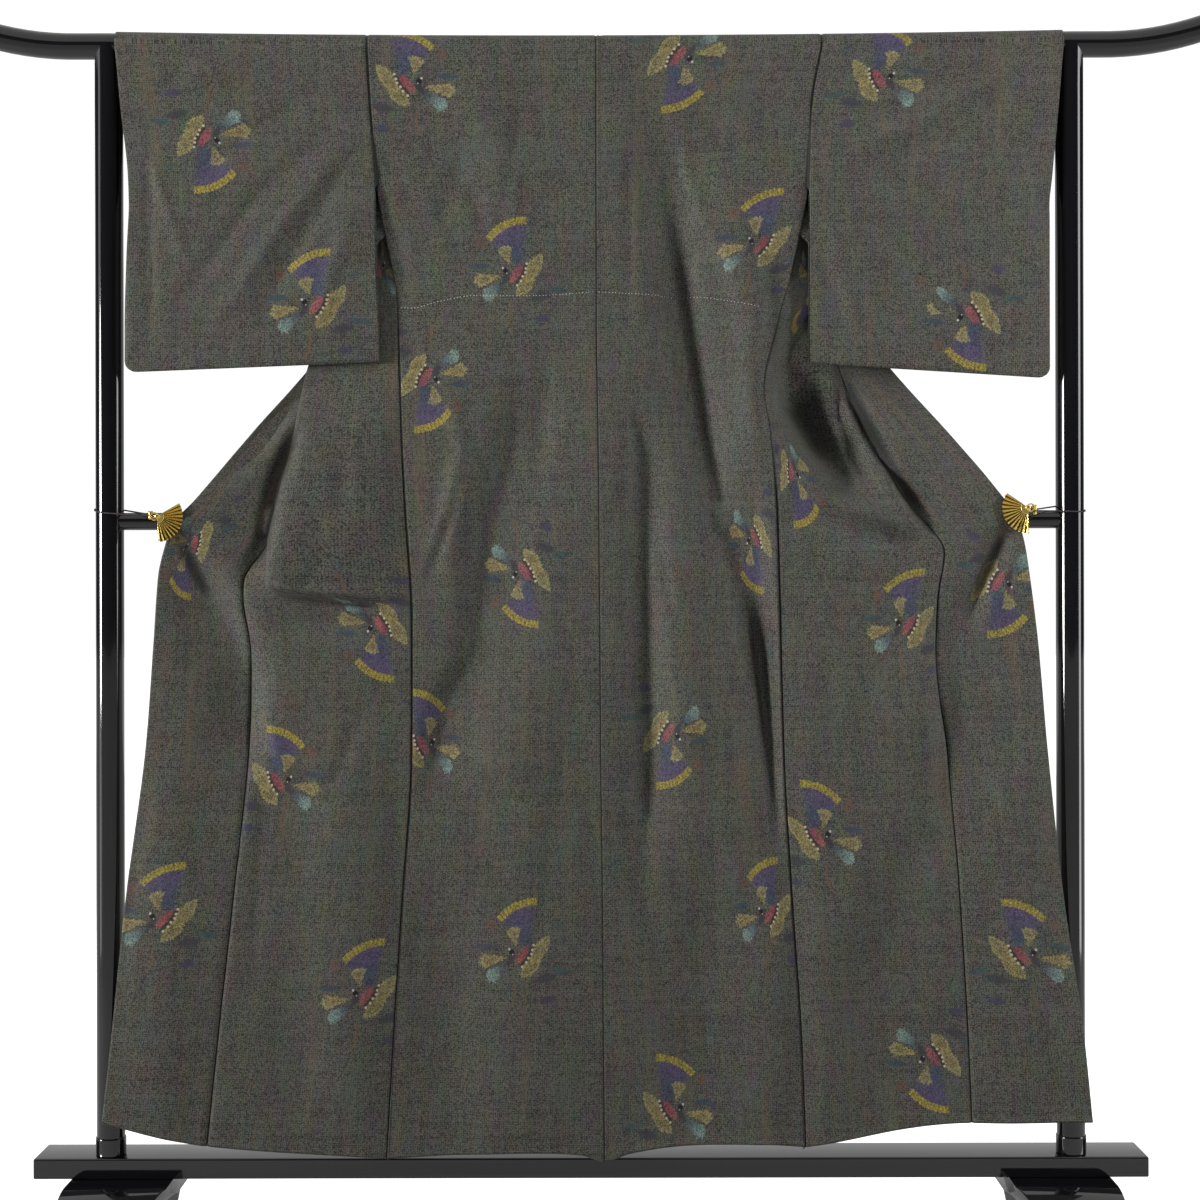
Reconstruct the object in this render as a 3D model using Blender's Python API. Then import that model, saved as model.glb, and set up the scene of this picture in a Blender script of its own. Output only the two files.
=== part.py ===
"""Silk kimono spread on a lacquered display stand, back to the front.

Units in the tables are millimetres: X to the right, Y to the rear, Z up from the floor.
Left and right are the wearer's, which are also the sides seen when the back is faced.
"""
import math
from bisect import bisect_right

import bmesh
import bpy
from mathutils import Matrix, Vector

MM = 0.001
GAP = 0.3                     # between pieces that meet

# Stand
RAIL_RADIUS = 18.5
RAIL_HEIGHT = 1719.0          # axis of the top rail at the posts
RAIL_SAG = 6.5                # lower in the middle
RAIL_REACH = 930.0            # half length, tip to centre
FLARE_START = 740.0           # the tips rise from here
FLARE_RATE = 0.00116
MID_RAIL_HEIGHT = 1037.0
MID_RAIL_RADIUS = 12.5
POST_X = 689.0
POST_RADIUS = 20.0
COLLAR_RADIUS = 21.5          # foot ring of a post
COLLAR_HEIGHT = 26.0
BEAM_LENGTH = 1588.0
BEAM_FRONT, BEAM_REAR = -26.0, 54.0
BEAM_BOTTOM, BEAM_TOP = 100.0, 129.0
BEAM_EDGE = 2.5               # rounding
FOOT_X = 662.0
FOOT_WIDTH = 157.0
FOOT_REACH = 210.0            # half length from front to rear
FOOT_FLAT = 60.0              # half length of the level top under the beam
FOOT_ARCH = 40.0              # half length of the level underside
FOOT_BAND = 15.0              # thickness of the bowed band
FOOT_END = 9.0                # height of the upright end faces
FOOT_BENDS = 8
FOOT_PAD = 34.0               # length of the flat that stands on the floor
FOOT_TAPER = 60.0             # the inner edge runs outwards by this much at both ends

# Cloth
CLOTH = 1.5                   # wall of one sewn layer
FRONT_WIDTH = 258.0           # cloth between the side seam and the overlap seam
COLLAR_CLOTH = 2.4            # the collar is folded double
COLLAR_WIDTH = 42.0
SHOULDER_Y = 22.0             # half depth of the cloth over the rail
SHOULDER_RISE = RAIL_RADIUS + GAP + CLOTH + 0.2    # a facet's sag above the rail
NECK_DROP = 12.0              # the back neckline lies this far below the rail's axis
WAIST_TOP = 1364.0            # the side seams start here
OKUMI_TOP = 1403.0            # upper point of the overlap panels
COLLAR_END = 1040.0           # the collar ends here, in the clips

# Clips
FAN_RADIUS = 37.0
FAN_PLEATS = 12
FAN_PLATE = 1.4
FAN_PLEAT_DEPTH = 0.9
JAW_FRONT = -31.0             # inner face of the fan
JAW_BACK = -20.6              # inner face of the rear jaw
KNOB_RADIUS, KNOB_LENGTH = 4.6, 4.2
BARREL_RADIUS, BARREL_END = 3.2, 4.0
BRIDGE_HEIGHT, BRIDGE_LAP = 4.6, 6.0   # joins the rear jaw to the barrel
LUG_HEIGHT, LUG_SHIFT = 5.0, 1.0       # joins the fan to the barrel, clear of the loop
HINGE_OFFSET = 10.5           # the barrel lies this far outside the pivot
ELASTIC_RADIUS = 1.1
LOOP_HEIGHT = 1052.5          # the elastic loops pass over the mid rail
LOOP_TILT = 0.2               # and dip to the front


def table(names, rows):
    """Columns by name; the first one rises and is what the others are read by."""
    return dict(zip(names.split(), zip(*rows)))


# Back of the garment: the three seams and their depths, from hem to shoulder.
BACK = table("height left middle right side_y middle_y", (
    (130, -290, 19, 305, -36, -40),
    (300, -280, 18, 299, -35, -40),
    (500, -267, 17, 286, -34, -40),
    (700, -254, 15, 275, -33, -39),
    (900, -253, 14, 270, -32, -38),
    (1050, -262, 13, 266, -31, -36),
    (1165, -268, 12, 258, -26, -33),
    (1225, -270, 11, 250, -22, -31),
    (1307, -273, 10, 267, -18, -29),
    (1364, -276, 10, 282, -16, -28),
    (1442, -290, 10, 299, -19, -27),
    (1523, -304, 10, 313, -21, -26),
    (1630, -312, 10, 317, -22, -23),
    (1713, -317, 10, 332, -22, -22)))

# Lower edge of the back.
HEM = table("x height", (
    (-290, 131), (-200, 136), (-60, 139), (-12, 136), (19, 127),
    (55, 138), (110, 147), (170, 150), (250, 150), (305, 146)))

# Opened front, one row for each section: three heights, five places, five depths.
SIDE_COLUMNS = ("seam_z okumi_z edge_z inner outer okumi edge "
                "seam_y inner_y outer_y okumi_y edge_y")
FRONT_LEFT = table(SIDE_COLUMNS, (
    (131, 149, 181, -448, -497, -545, -694, -36, -38, -38, -36, -36),
    (300, 307, 322, -434, -481, -529, -679, -35, -40, -39, -34, -34),
    (500, 504, 512, -415, -461, -507, -659, -34, -39, -38, -34, -32),
    (700, 703, 710, -398, -442, -488, -632, -33, -37, -36, -33, -31),
    (850, 853, 862, -396, -440, -486, -621, -32, -35, -34, -32, -30),
    (912, 925, 958, -400, -448, -494, -615, -31, -35, -34, -31, -29),
    (936, 948, 990, -456, -452, -493, -608, -31, -56, -43, -31, -28),
    (1003, 1006, 1034, -457, -432, -460, -592, -31, -58, -43, -31, -28),
    (1065, 1066, 1067, -444, -405, -434, -562, -30, -54, -39, -29, -27),
    (1165, 1165, 1165, -420, -368, -402, -481, -26, -39, -29, -21, -17),
    (1250, 1250, 1250, -405, -340, -363, -407, -20, -15, -8, -3, -4),
    (1307, 1307, 1307, -382, -322, -338, -365, -18, -10, -1, 6, 6),
    (1364, 1364, 1364, -352, -292, -306, -324, -16, -6, 6, 14, 14),
    (1442, 1442, 1442, -312, -276, -268, -265, -6, 5, 15, 21, 21),
    (1520, 1520, 1520, -291, -242, -209, -208, 6, 17, 24, 26, 26),
    (1620, 1620, 1620, -218, -174, -135, -134, 14, 22, 25, 26, 26),
    (1713, 1713, 1713, -156, -106, -57, -56, 22, 22, 22, 22, 22)))
FRONT_RIGHT = table(SIDE_COLUMNS, (
    (146, 180, 180, 451, 495, 540, 712, -36, -38, -38, -36, -36),
    (300, 312, 315, 445, 490, 535, 699, -35, -39, -38, -34, -34),
    (500, 505, 508, 434, 478, 524, 671, -34, -38, -37, -34, -32),
    (700, 703, 708, 421, 466, 510, 650, -33, -36, -36, -33, -31),
    (850, 852, 856, 409, 452, 494, 638, -32, -34, -34, -32, -30),
    (912, 920, 932, 409, 452, 495, 629, -31, -35, -35, -31, -29),
    (985, 990, 1010, 413, 458, 504, 617, -31, -34, -35, -31, -28),
    (1043, 1043, 1048, 392, 420, 469, 602, -30, -35, -41, -30, -28),
    (1086, 1086, 1088, 366, 398, 438, 573, -29, -30, -50, -27, -26),
    (1165, 1165, 1165, 304, 362, 404, 510, -26, -24, -45, -19, -17),
    (1248, 1248, 1248, 275, 350, 360, 438, -21, -20, -15, -4, -4),
    (1307, 1307, 1307, 306, 334, 342, 389, -18, -13, -7, 4, 5),
    (1364, 1364, 1364, 330, 304, 315, 343, -16, -6, 6, 14, 14),
    (1442, 1442, 1442, 316, 296, 287, 282, -6, 5, 15, 21, 21),
    (1520, 1520, 1520, 299, 250, 213, 214, 6, 17, 24, 26, 26),
    (1620, 1620, 1620, 228, 182, 142, 143, 14, 22, 25, 26, 26),
    (1713, 1713, 1713, 166, 116, 66, 67, 22, 22, 22, 22, 22)))

# Width of the cloth at each named place, as a share of the front panel.
PLACES = {"seam": 0.0, "inner": 0.62, "outer": 0.81, "okumi": 1.0, "edge": 1.58}
DEPTH_PLACES = (0.0, 0.50, 0.73, 1.0, 1.58)     # depths turn before places do, so folds are round

SLEEVE_COLUMNS = "height inner outer front_in front_out rear_in rear_out"
SLEEVE_LEFT = table(SLEEVE_COLUMNS, (
    (1250, -298, -661, -29.0, -29.0, -24.8, -25.4),
    (1306, -299, -661, -31.5, -29.5, -22.5, -25.9),
    (1415, -303, -658, -31.0, -28.5, -20.0, -24.9),
    (1480, -304, -655, -29.0, -27.0, -8.0, -20.0),
    (1520, -304, -656, -27.5, -26.5, 6.0, 2.0),
    (1620, -312, -667, -24.0, -24.0, 14.0, 24.0),
    (1713, -317, -676, -22.0, -23.5, 22.0, 23.5)))
SLEEVE_RIGHT = table(SLEEVE_COLUMNS, (
    (1238, 313, 655, -29.0, -29.0, -24.8, -25.4),
    (1306, 313, 655, -31.5, -29.5, -22.5, -25.9),
    (1415, 313, 655, -31.0, -28.5, -20.0, -24.9),
    (1480, 313, 655, -29.0, -27.0, -8.0, -20.0),
    (1520, 313, 659, -27.5, -26.5, 6.0, 2.0),
    (1620, 317, 669, -24.0, -24.0, 14.0, 24.0),
    (1713, 332, 677, -22.0, -23.5, 22.0, 23.5)))
SLEEVE_FOOT = {"left": (1263.0, 1249.0), "right": (1260.0, 1238.0)}   # inner and outer corner
SLEEVE_CORNER = 17.0

# Soft folds: heights they run between, their places there and halfway, half width, depth.
FOLD_COLUMNS = "low high low_x mid_x high_x width depth"
BACK_FOLDS = (
    (540, 1500, 279, 146, 92, 34, 17),
    (1000, 1420, 220, 212, 214, 34, -11),
    (470, 1100, 92, 54, 48, 26, 8),
    (640, 1210, -236, -182, -113, 30, 11),
    (1400, 1700, -158, -130, -99, 36, -7),
    (330, 560, 292, 278, 258, 24, -9),
    (130, 900, -150, -120, -80, 60, -7),
    (130, 700, 130, 140, 150, 60, 8))
SIDE_FOLDS = (
    (810, 1020, -488, -540, -584, 22, 9),
    (850, 1030, 536, 562, 598, 22, 8),
    (150, 780, -600, -590, -575, 46, -6),
    (180, 780, 628, 610, 590, 46, -6),
    (160, 800, -380, -360, -350, 60, 6),
    (160, 800, 400, 390, 380, 60, 6))

FOLD_END = 40.0               # folds of the back die out this close to a side seam

COLOURS = {
    "silk": ((0.060, 0.056, 0.048), 0.62, 0.0),
    "lacquer": ((0.008, 0.008, 0.009), 0.12, 0.0),
    "gold": ((0.78, 0.52, 0.16), 0.24, 1.0),
    "elastic": ((0.010, 0.010, 0.010), 0.70, 0.0)}


def clear_scene():
    for item in list(bpy.data.objects):
        bpy.data.objects.remove(item)


def material(name):
    found = bpy.data.materials.get(name)
    if found:
        return found
    colour, roughness, metallic = COLOURS[name]
    made = bpy.data.materials.new(name)
    made.use_nodes = True
    shader = made.node_tree.nodes["Principled BSDF"]
    shader.inputs["Base Color"].default_value = (*colour, 1.0)
    shader.inputs["Roughness"].default_value = roughness
    shader.inputs["Metallic"].default_value = metallic
    return made


def add_object(name, bm, finish, smooth=True):
    """Turn a bmesh in millimetres into a named object in metres."""
    bmesh.ops.scale(bm, vec=(MM, MM, MM), verts=bm.verts)
    mesh = bpy.data.meshes.new(name)
    bm.to_mesh(mesh)
    bm.free()
    mesh.materials.append(material(finish))
    if smooth:
        mesh.shade_smooth()
        mesh.set_sharp_from_angle(angle=math.radians(40))
    item = bpy.data.objects.new(name, mesh)
    bpy.context.collection.objects.link(item)
    return item


# ---- reading the tables ----

def eased(keys, values, at):
    """Smooth value between the rows on either side, never past them."""
    if at <= keys[0]:
        return values[0]
    if at >= keys[-1]:
        return values[-1]
    slopes = [(v1 - v0) / (k1 - k0)
              for k0, k1, v0, v1 in zip(keys, keys[1:], values, values[1:])]

    def tangent(row):
        if row in (0, len(slopes)):
            return slopes[min(row, len(slopes) - 1)]
        before, after = slopes[row - 1], slopes[row]
        return 0.0 if before * after <= 0 else 2 * before * after / (before + after)

    row = bisect_right(keys, at) - 1
    span = keys[row + 1] - keys[row]
    t = (at - keys[row]) / span
    rise = (3 - 2 * t) * t * t
    return (values[row] * (1 - rise) + values[row + 1] * rise
            + span * (tangent(row) * t * (1 - t) ** 2 - tangent(row + 1) * t * t * (1 - t)))


def read(columns, name, at):
    key = next(iter(columns))
    return eased(columns[key], columns[name], at)


def fade(t):
    """Smooth 0 to 1."""
    t = min(max(t, 0.0), 1.0)
    return t * t * (3 - 2 * t)


def fold_depth(folds, x, z):
    """Sum of the soft troughs (+) and ridges (-) at a place."""
    total = 0.0
    for low, high, low_x, mid_x, high_x, width, depth in folds:
        share = (z - low) / (high - low)
        if 0.0 < share < 1.0:
            path = eased((0.0, 0.5, 1.0), (low_x, mid_x, high_x), share)
            end = fade(share / 0.2) * fade((1 - share) / 0.2)
            total += depth * end * math.exp(-((x - path) / width) ** 2)
    return total


def rail_axis(x):
    reach = abs(x)
    flare = max(reach - FLARE_START, 0.0)
    return RAIL_HEIGHT - RAIL_SAG * max(1 - (reach / POST_X) ** 2, 0.0) + FLARE_RATE * flare ** 2


# ---- cloth surfaces ----

def back_point(side, across, z):
    """Back of the garment; across runs from the middle seam (0) to a side seam (1)."""
    middle = read(BACK, "middle", z)
    seam = read(BACK, side, z)
    x = middle + (seam - middle) * across
    side_y, middle_y = read(BACK, "side_y", z), read(BACK, "middle_y", z)
    y = middle_y + (side_y - middle_y) * across ** 2
    hold = fade((1 - across) * abs(seam - middle) / FOLD_END)
    return Vector((x, y + hold * fold_depth(BACK_FOLDS, x, z), z))


def front_point(side, place, v):
    """Opened front; place is a share of the panel's width, v the height at the side seam."""
    columns = FRONT_LEFT if side == "left" else FRONT_RIGHT
    keys = tuple(PLACES.values())
    xs = [read(BACK, side, v)] + [read(columns, name, v) for name in list(PLACES)[1:]]
    ys = [read(columns, name + "_y", v) for name in PLACES]
    z = eased((0.0, 1.0, PLACES["edge"]),
              (v, read(columns, "okumi_z", v), read(columns, "edge_z", v)), place)
    x, y = eased(keys, xs, place), eased(DEPTH_PLACES, ys, place)
    return Vector((x, y + fold_depth(SIDE_FOLDS, x, z) * fade(place / 0.2), z))


def shoulder_point(x, angle, half_depth=SHOULDER_Y):
    """Cloth over the rail; the angle runs from the front (0) over the top to the rear."""
    return Vector((x, -half_depth * math.cos(angle),
                   rail_axis(x) + SHOULDER_RISE * math.sin(angle)))


# ---- cloth pieces ----

def cloth_piece(name, grid, thickness=CLOTH, flip=False, ring=False):
    """A wall on a grid of points; None leaves a cell out, ring joins the last row to the first."""
    bm = bmesh.new()
    rows = [[bm.verts.new(p) if p is not None else None for p in row] for row in grid]
    pairs = list(zip(rows, rows[1:])) + ([(rows[-1], rows[0])] if ring else [])
    for low, high in pairs:
        for corners in zip(low, low[1:], high[1:], high):
            if None not in corners:
                bm.faces.new(corners[::-1] if flip else corners)
    item = add_object(name, bm, "silk")
    wall = item.modifiers.new("wall", "SOLIDIFY")
    wall.thickness = thickness * MM
    wall.offset = -1.0
    wall.use_even_offset = False
    return item


FRONT_STEPS = (0.0, 0.14, 0.28, 0.42, 0.53, 0.62, 0.68, 0.74, 0.81, 0.88, 0.95, 1.0)
OKUMI_STEPS = (0.0, 0.04, 0.16, 0.34, 0.56, 0.78, 1.0)
NECK_STEPS = 2
DRAPED_ABOVE = 900.0          # sections above this height get one more halfway
SHOULDER_ROWS = 8


def section_heights(columns, top):
    """The table's own sections up to a height, with one halfway where the cloth is draped."""
    heights = columns["seam_z"]
    halves = [(a + b) / 2 for a, b in zip(heights, heights[1:]) if a > DRAPED_ABOVE]
    return sorted(h for h in (*heights, *halves) if h <= top)


def body_panel(side):
    """Back, shoulder and front in one length of cloth."""
    sign = side_sign(side)
    columns = FRONT_LEFT if side == "left" else FRONT_RIGHT
    top = BACK["height"][-1]
    middle, seam = BACK["middle"][-1], BACK[side][-1]
    front_steps = [1.0 - GAP / FRONT_WIDTH] + list(FRONT_STEPS[-2::-1])    # neck edge to side seam
    front_steps[-1] = 0.0
    front_x = [front_point(side, step, top).x for step in front_steps]
    neck_x = [middle + (front_x[0] - middle) * k / NECK_STEPS for k in range(NECK_STEPS)]
    neck_x[0] = middle + sign * GAP / 2
    xs = neck_x + front_x
    shares = [(x - middle) / (seam - middle) for x in xs]
    grid = []
    heights = section_heights(columns, top)
    for v in heights[:-1]:
        level = (v - heights[0]) / (top - heights[0])
        line = []
        for share in shares:
            foot = read(HEM, "height", back_point(side, share, heights[0]).x)
            point = back_point(side, share, foot + (top - foot) * level)
            if share == shares[0]:
                point.x += sign * GAP / 2
            line.append(point)
        grid.append(line)
        line[-1].x -= sign * GAP
    xs[-1] -= sign * GAP
    for row in range(SHOULDER_ROWS + 1):
        grid.append([shoulder_point(x, math.pi * row / SHOULDER_ROWS) for x in xs])
    neckline = [p - Vector((0, 0, NECK_DROP)) for p in grid[-1][:NECK_STEPS + 1]]
    for number, v in enumerate(reversed(heights[:-1])):
        line = [front_point(side, step, v) for step in front_steps]
        line[-1].x += sign * GAP * (1.5 if v < WAIST_TOP + 1 else -1)
        grid.append([None] * NECK_STEPS + line)
        if number == 0:
            halfway = [(a + b) / 2 for a, b in zip(grid[-2][NECK_STEPS:], line)]
            grid.insert(-1, neckline[:NECK_STEPS] + halfway)
    cloth_piece("body_" + side, grid, flip=side == "left")


def okumi_panel(side):
    """Overlap panel outside the front, narrowing to a point at the collar."""
    columns = FRONT_LEFT if side == "left" else FRONT_RIGHT
    first, last = PLACES["okumi"] + GAP / FRONT_WIDTH, PLACES["edge"]
    steps = [first + (last - first) * share for share in OKUMI_STEPS]
    grid = [[front_point(side, step, v) for step in steps]
            for v in section_heights(columns, OKUMI_TOP)]
    cloth_piece("okumi_" + side, grid, flip=side == "left")


SLEEVE_COLUMN_STEPS = (0.0, 0.1, 0.22, 0.36, 0.5, 0.64, 0.78, 0.90, 0.955, 0.985, 1.0)
SLEEVE_HEIGHTS = (1666.5, 1620.0, 1570.0, 1520.0, 1450.0, 1370.0, 1310.0)


def sleeve_point(side, across, down, layer):
    """Sleeve bag; across runs from the armhole to the cuff, down from the rail to the foot."""
    columns = SLEEVE_LEFT if side == "left" else SLEEVE_RIGHT
    sign = side_sign(side)
    inner_foot, outer_foot = SLEEVE_FOOT[side]
    width = abs(columns["outer"][0] - columns["inner"][0])
    foot = inner_foot + (outer_foot - inner_foot) * across
    corner = max(SLEEVE_CORNER - (1 - across) * width, 0.0)
    foot += SLEEVE_CORNER - math.sqrt(SLEEVE_CORNER ** 2 - corner ** 2)
    top = BACK["height"][-1]
    z = top + (foot - top) * down
    inner = sign * max(sign * read(columns, "inner", z), sign * read(BACK, side, z)) + sign * GAP
    x = inner + (read(columns, "outer", z) - inner) * across
    y_in, y_out = read(columns, layer + "_in", z), read(columns, layer + "_out", z)
    y = y_in + (y_out - y_in) * across ** 2
    z += (rail_axis(x) - top) * (1 - down)
    return Vector((x, y, z))


def sleeve(side):
    top, foot = BACK["height"][-1], SLEEVE_FOOT[side][0]
    downs = [(top - height) / (top - foot) for height in SLEEVE_HEIGHTS] + [1.0]
    grid = [[sleeve_point(side, a, down, "front") for a in SLEEVE_COLUMN_STEPS]
            for down in reversed(downs)]
    for row in range(SHOULDER_ROWS + 1):
        angle = math.pi * row / SHOULDER_ROWS
        line = []
        for a in SLEEVE_COLUMN_STEPS:
            edge = sleeve_point(side, a, 0.0, "front")
            line.append(shoulder_point(edge.x, angle, half_depth=-edge.y))
        grid.append(line)
    grid += [[sleeve_point(side, a, down, "rear") for a in SLEEVE_COLUMN_STEPS]
             for down in downs]
    grid.append([(a + b) / 2 - Vector((0, 0, CLOTH)) for a, b in zip(grid[-1], grid[0])])
    cloth_piece("sleeve_" + side, grid, flip=side == "left", ring=True)


COLLAR_ROWS = 16              # along each slanting edge
NECK_ROWS = 6


def collar_line():
    """Points of the collar's seam with the way its cloth lies from there."""
    line = []
    for side, sign in (("left", 1), ("right", -1)):
        half = []
        for row in range(COLLAR_ROWS + 1):
            share = row / COLLAR_ROWS
            v = COLLAR_END + (BACK["height"][-1] - COLLAR_END) * share
            point = front_point(side, PLACES["edge"], v)
            point.y += CLOTH + 2 * GAP
            turn = fade((share - 0.7) / 0.3)
            lie = Vector((sign * 0.74 * (1 - turn), 0.05, -0.67 - 0.33 * turn)).normalized()
            half.append((point, lie))
        line.append(half)
    left, right = line
    start, end = left[-1][0], right[-1][0]
    neck = [(start.lerp(end, k / NECK_ROWS), Vector((0, 0.05, -1)).normalized())
            for k in range(1, NECK_ROWS)]
    return left + neck + right[::-1]


def collar():
    grid = []
    for point, lie in collar_line():
        grid.append([point + lie * COLLAR_WIDTH * k / 3 for k in range(4)])
    cloth_piece("collar", grid, thickness=COLLAR_CLOTH)


# ---- stand ----

def tube_mesh(points, radius, sides):
    """Closed round tube along a line of points, with flat ends."""
    bm = bmesh.new()
    rings = []
    for number, point in enumerate(points):
        ahead = points[min(number + 1, len(points) - 1)]
        behind = points[max(number - 1, 0)]
        turn = (ahead - behind).to_track_quat("Z", "Y").to_matrix().to_4x4()
        place = Matrix.Translation(point) @ turn
        rings.append(bmesh.ops.create_circle(
            bm, segments=sides, radius=radius, matrix=place)["verts"])
    for low, high in zip(rings, rings[1:]):
        for k in range(sides):
            bm.faces.new((low[k], low[(k + 1) % sides], high[(k + 1) % sides], high[k]))
    bm.faces.new(rings[0][::-1])
    bm.faces.new(rings[-1])
    bmesh.ops.recalc_face_normals(bm, faces=bm.faces)
    return bm


def combine(item, other, operation):
    """Add another solid to a piece or take it out; the other stays as a hidden guide."""
    other.hide_render = True
    other.display_type = "WIRE"
    tool = item.modifiers.new(other.name, "BOOLEAN")
    tool.operation = operation
    tool.solver = "EXACT"
    tool.object = other


def box_mesh(size, centre):
    bm = bmesh.new()
    bmesh.ops.create_cube(bm, size=1.0, matrix=Matrix.Translation(centre) @ Matrix.Diagonal((*size, 1)))
    return bm


def side_sign(side):
    return -1 if side == "left" else 1


def round_bar(name, start, end, radius, finish="lacquer", sides=24):
    return add_object(name, tube_mesh([Vector(start), Vector(end)], radius, sides), finish)


def top_rail():
    tip = [-RAIL_REACH + 32 * k for k in range(7)] + [-POST_X]
    steps = tip + [-600 + 200 * k for k in range(7)] + [-x for x in tip[::-1]]
    line = [Vector((x, 0, rail_axis(x))) for x in steps]
    return add_object("top_rail", tube_mesh(line, RAIL_RADIUS, 18), "lacquer")


def mid_rail():
    rail = round_bar("mid_rail", (-POST_X, 0, MID_RAIL_HEIGHT), (POST_X, 0, MID_RAIL_HEIGHT),
                     MID_RAIL_RADIUS, sides=20)
    low, high = MID_RAIL_HEIGHT - 2 * MID_RAIL_RADIUS, MID_RAIL_HEIGHT + 2 * MID_RAIL_RADIUS
    for side in ("left", "right"):
        x = side_sign(side) * POST_X
        post_guide = round_bar("mid_guide_" + side, (x, 0, low), (x, 0, high), POST_RADIUS + GAP)
        combine(rail, post_guide, "DIFFERENCE")


def post(side):
    """Round post with a foot ring, saddled under the top rail."""
    x, low = side_sign(side) * POST_X, BEAM_TOP + GAP
    item = round_bar("post_" + side, (x, 0, low), (x, 0, RAIL_HEIGHT), POST_RADIUS)
    ring = round_bar("ring_" + side, (x, 0, low), (x, 0, low + COLLAR_HEIGHT), COLLAR_RADIUS)
    combine(item, ring, "UNION")
    seat = [Vector((x + step, 0, rail_axis(x + step))) for step in (-30, 0, 30)]
    saddle = add_object("saddle_" + side, tube_mesh(seat, RAIL_RADIUS + GAP, 24), "lacquer")
    combine(item, saddle, "DIFFERENCE")


def base_beam():
    size = (BEAM_LENGTH, BEAM_REAR - BEAM_FRONT, BEAM_TOP - BEAM_BOTTOM)
    bm = box_mesh(size, (0, (BEAM_REAR + BEAM_FRONT) / 2, (BEAM_TOP + BEAM_BOTTOM) / 2))
    bmesh.ops.bevel(bm, geom=bm.edges, offset=BEAM_EDGE, segments=2, profile=0.5,
                    affect="EDGES", material=-1)
    add_object("base_beam", bm, "lacquer")


def foot_outline():
    """Side view of a foot: up over the bow and back along its underside."""
    under = BEAM_BOTTOM - GAP
    bends = [k / FOOT_BENDS for k in range(FOOT_BENDS + 1)]
    upper, lower = [(-FOOT_REACH, 0.0)], []
    for t in bends:
        rise = math.sin(t * math.pi / 2)
        upper.append((-FOOT_REACH + (FOOT_REACH - FOOT_FLAT) * t,
                      FOOT_END + (under - FOOT_END) * rise ** 1.15))
        inner = FOOT_REACH - FOOT_PAD
        lower.append((inner - (inner - FOOT_ARCH) * t, (under - FOOT_BAND) * rise ** 1.1))
    upper += [(-y, z) for y, z in upper[::-1]]
    return upper + lower + [(-y, z) for y, z in lower[::-1]]


def foot(side):
    """Wide band bowed from the floor up to the beam and down again."""
    sign = side_sign(side)
    x = sign * FOOT_X
    bm = bmesh.new()
    face = bm.faces.new([bm.verts.new((x - FOOT_WIDTH / 2, y, z)) for y, z in foot_outline()])
    pushed = bmesh.ops.extrude_face_region(bm, geom=[face])["geom"]
    moved = [g for g in pushed if isinstance(g, bmesh.types.BMVert)]
    bmesh.ops.translate(bm, vec=(FOOT_WIDTH, 0, 0), verts=moved)
    for vert in bm.verts:
        if (vert.co.x - x) * sign < 0:
            past = max(abs(vert.co.y) - FOOT_FLAT / 2, 0.0) / (FOOT_REACH - FOOT_FLAT / 2)
            vert.co.x += sign * FOOT_TAPER * past
    bmesh.ops.recalc_face_normals(bm, faces=bm.faces)
    add_object("foot_" + side, bm, "lacquer")


# ---- clips ----

CLIPS = {
    "left": {"pivot": (-614.0, 1043.0), "from": 29.0, "to": -85.0},
    "right": {"pivot": (622.0, 1053.0), "from": 147.0, "to": 270.0}}


def fan_mesh(clip, inner_y, plate, pleated):
    """Sector plate round the pivot, folded in pleats where asked."""
    bm = bmesh.new()
    px, pz = clip["pivot"]
    steps = FAN_PLEATS * 2 if pleated else 10
    rows = []
    for radius in (3.0, FAN_RADIUS * 0.55, FAN_RADIUS - (0 if pleated else 4)):
        row = []
        for k in range(steps + 1):
            angle = math.radians(clip["from"] + (clip["to"] - clip["from"]) * k / steps)
            fold = FAN_PLEAT_DEPTH * (k % 2) * radius / FAN_RADIUS if pleated else 0.0
            spot = (px + radius * math.cos(angle), inner_y - fold, pz + radius * math.sin(angle))
            row.append(bm.verts.new(spot))
        rows.append(row)
    for low, high in zip(rows, rows[1:]):
        for corners in zip(low, low[1:], high[1:], high):
            bm.faces.new(corners)
    faces = list(bm.faces)
    pushed = bmesh.ops.extrude_face_region(bm, geom=faces)["geom"]
    moved = [g for g in pushed if isinstance(g, bmesh.types.BMVert)]
    bmesh.ops.translate(bm, vec=(0, plate, 0), verts=moved)
    bmesh.ops.recalc_face_normals(bm, faces=bm.faces)
    return bm


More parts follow.
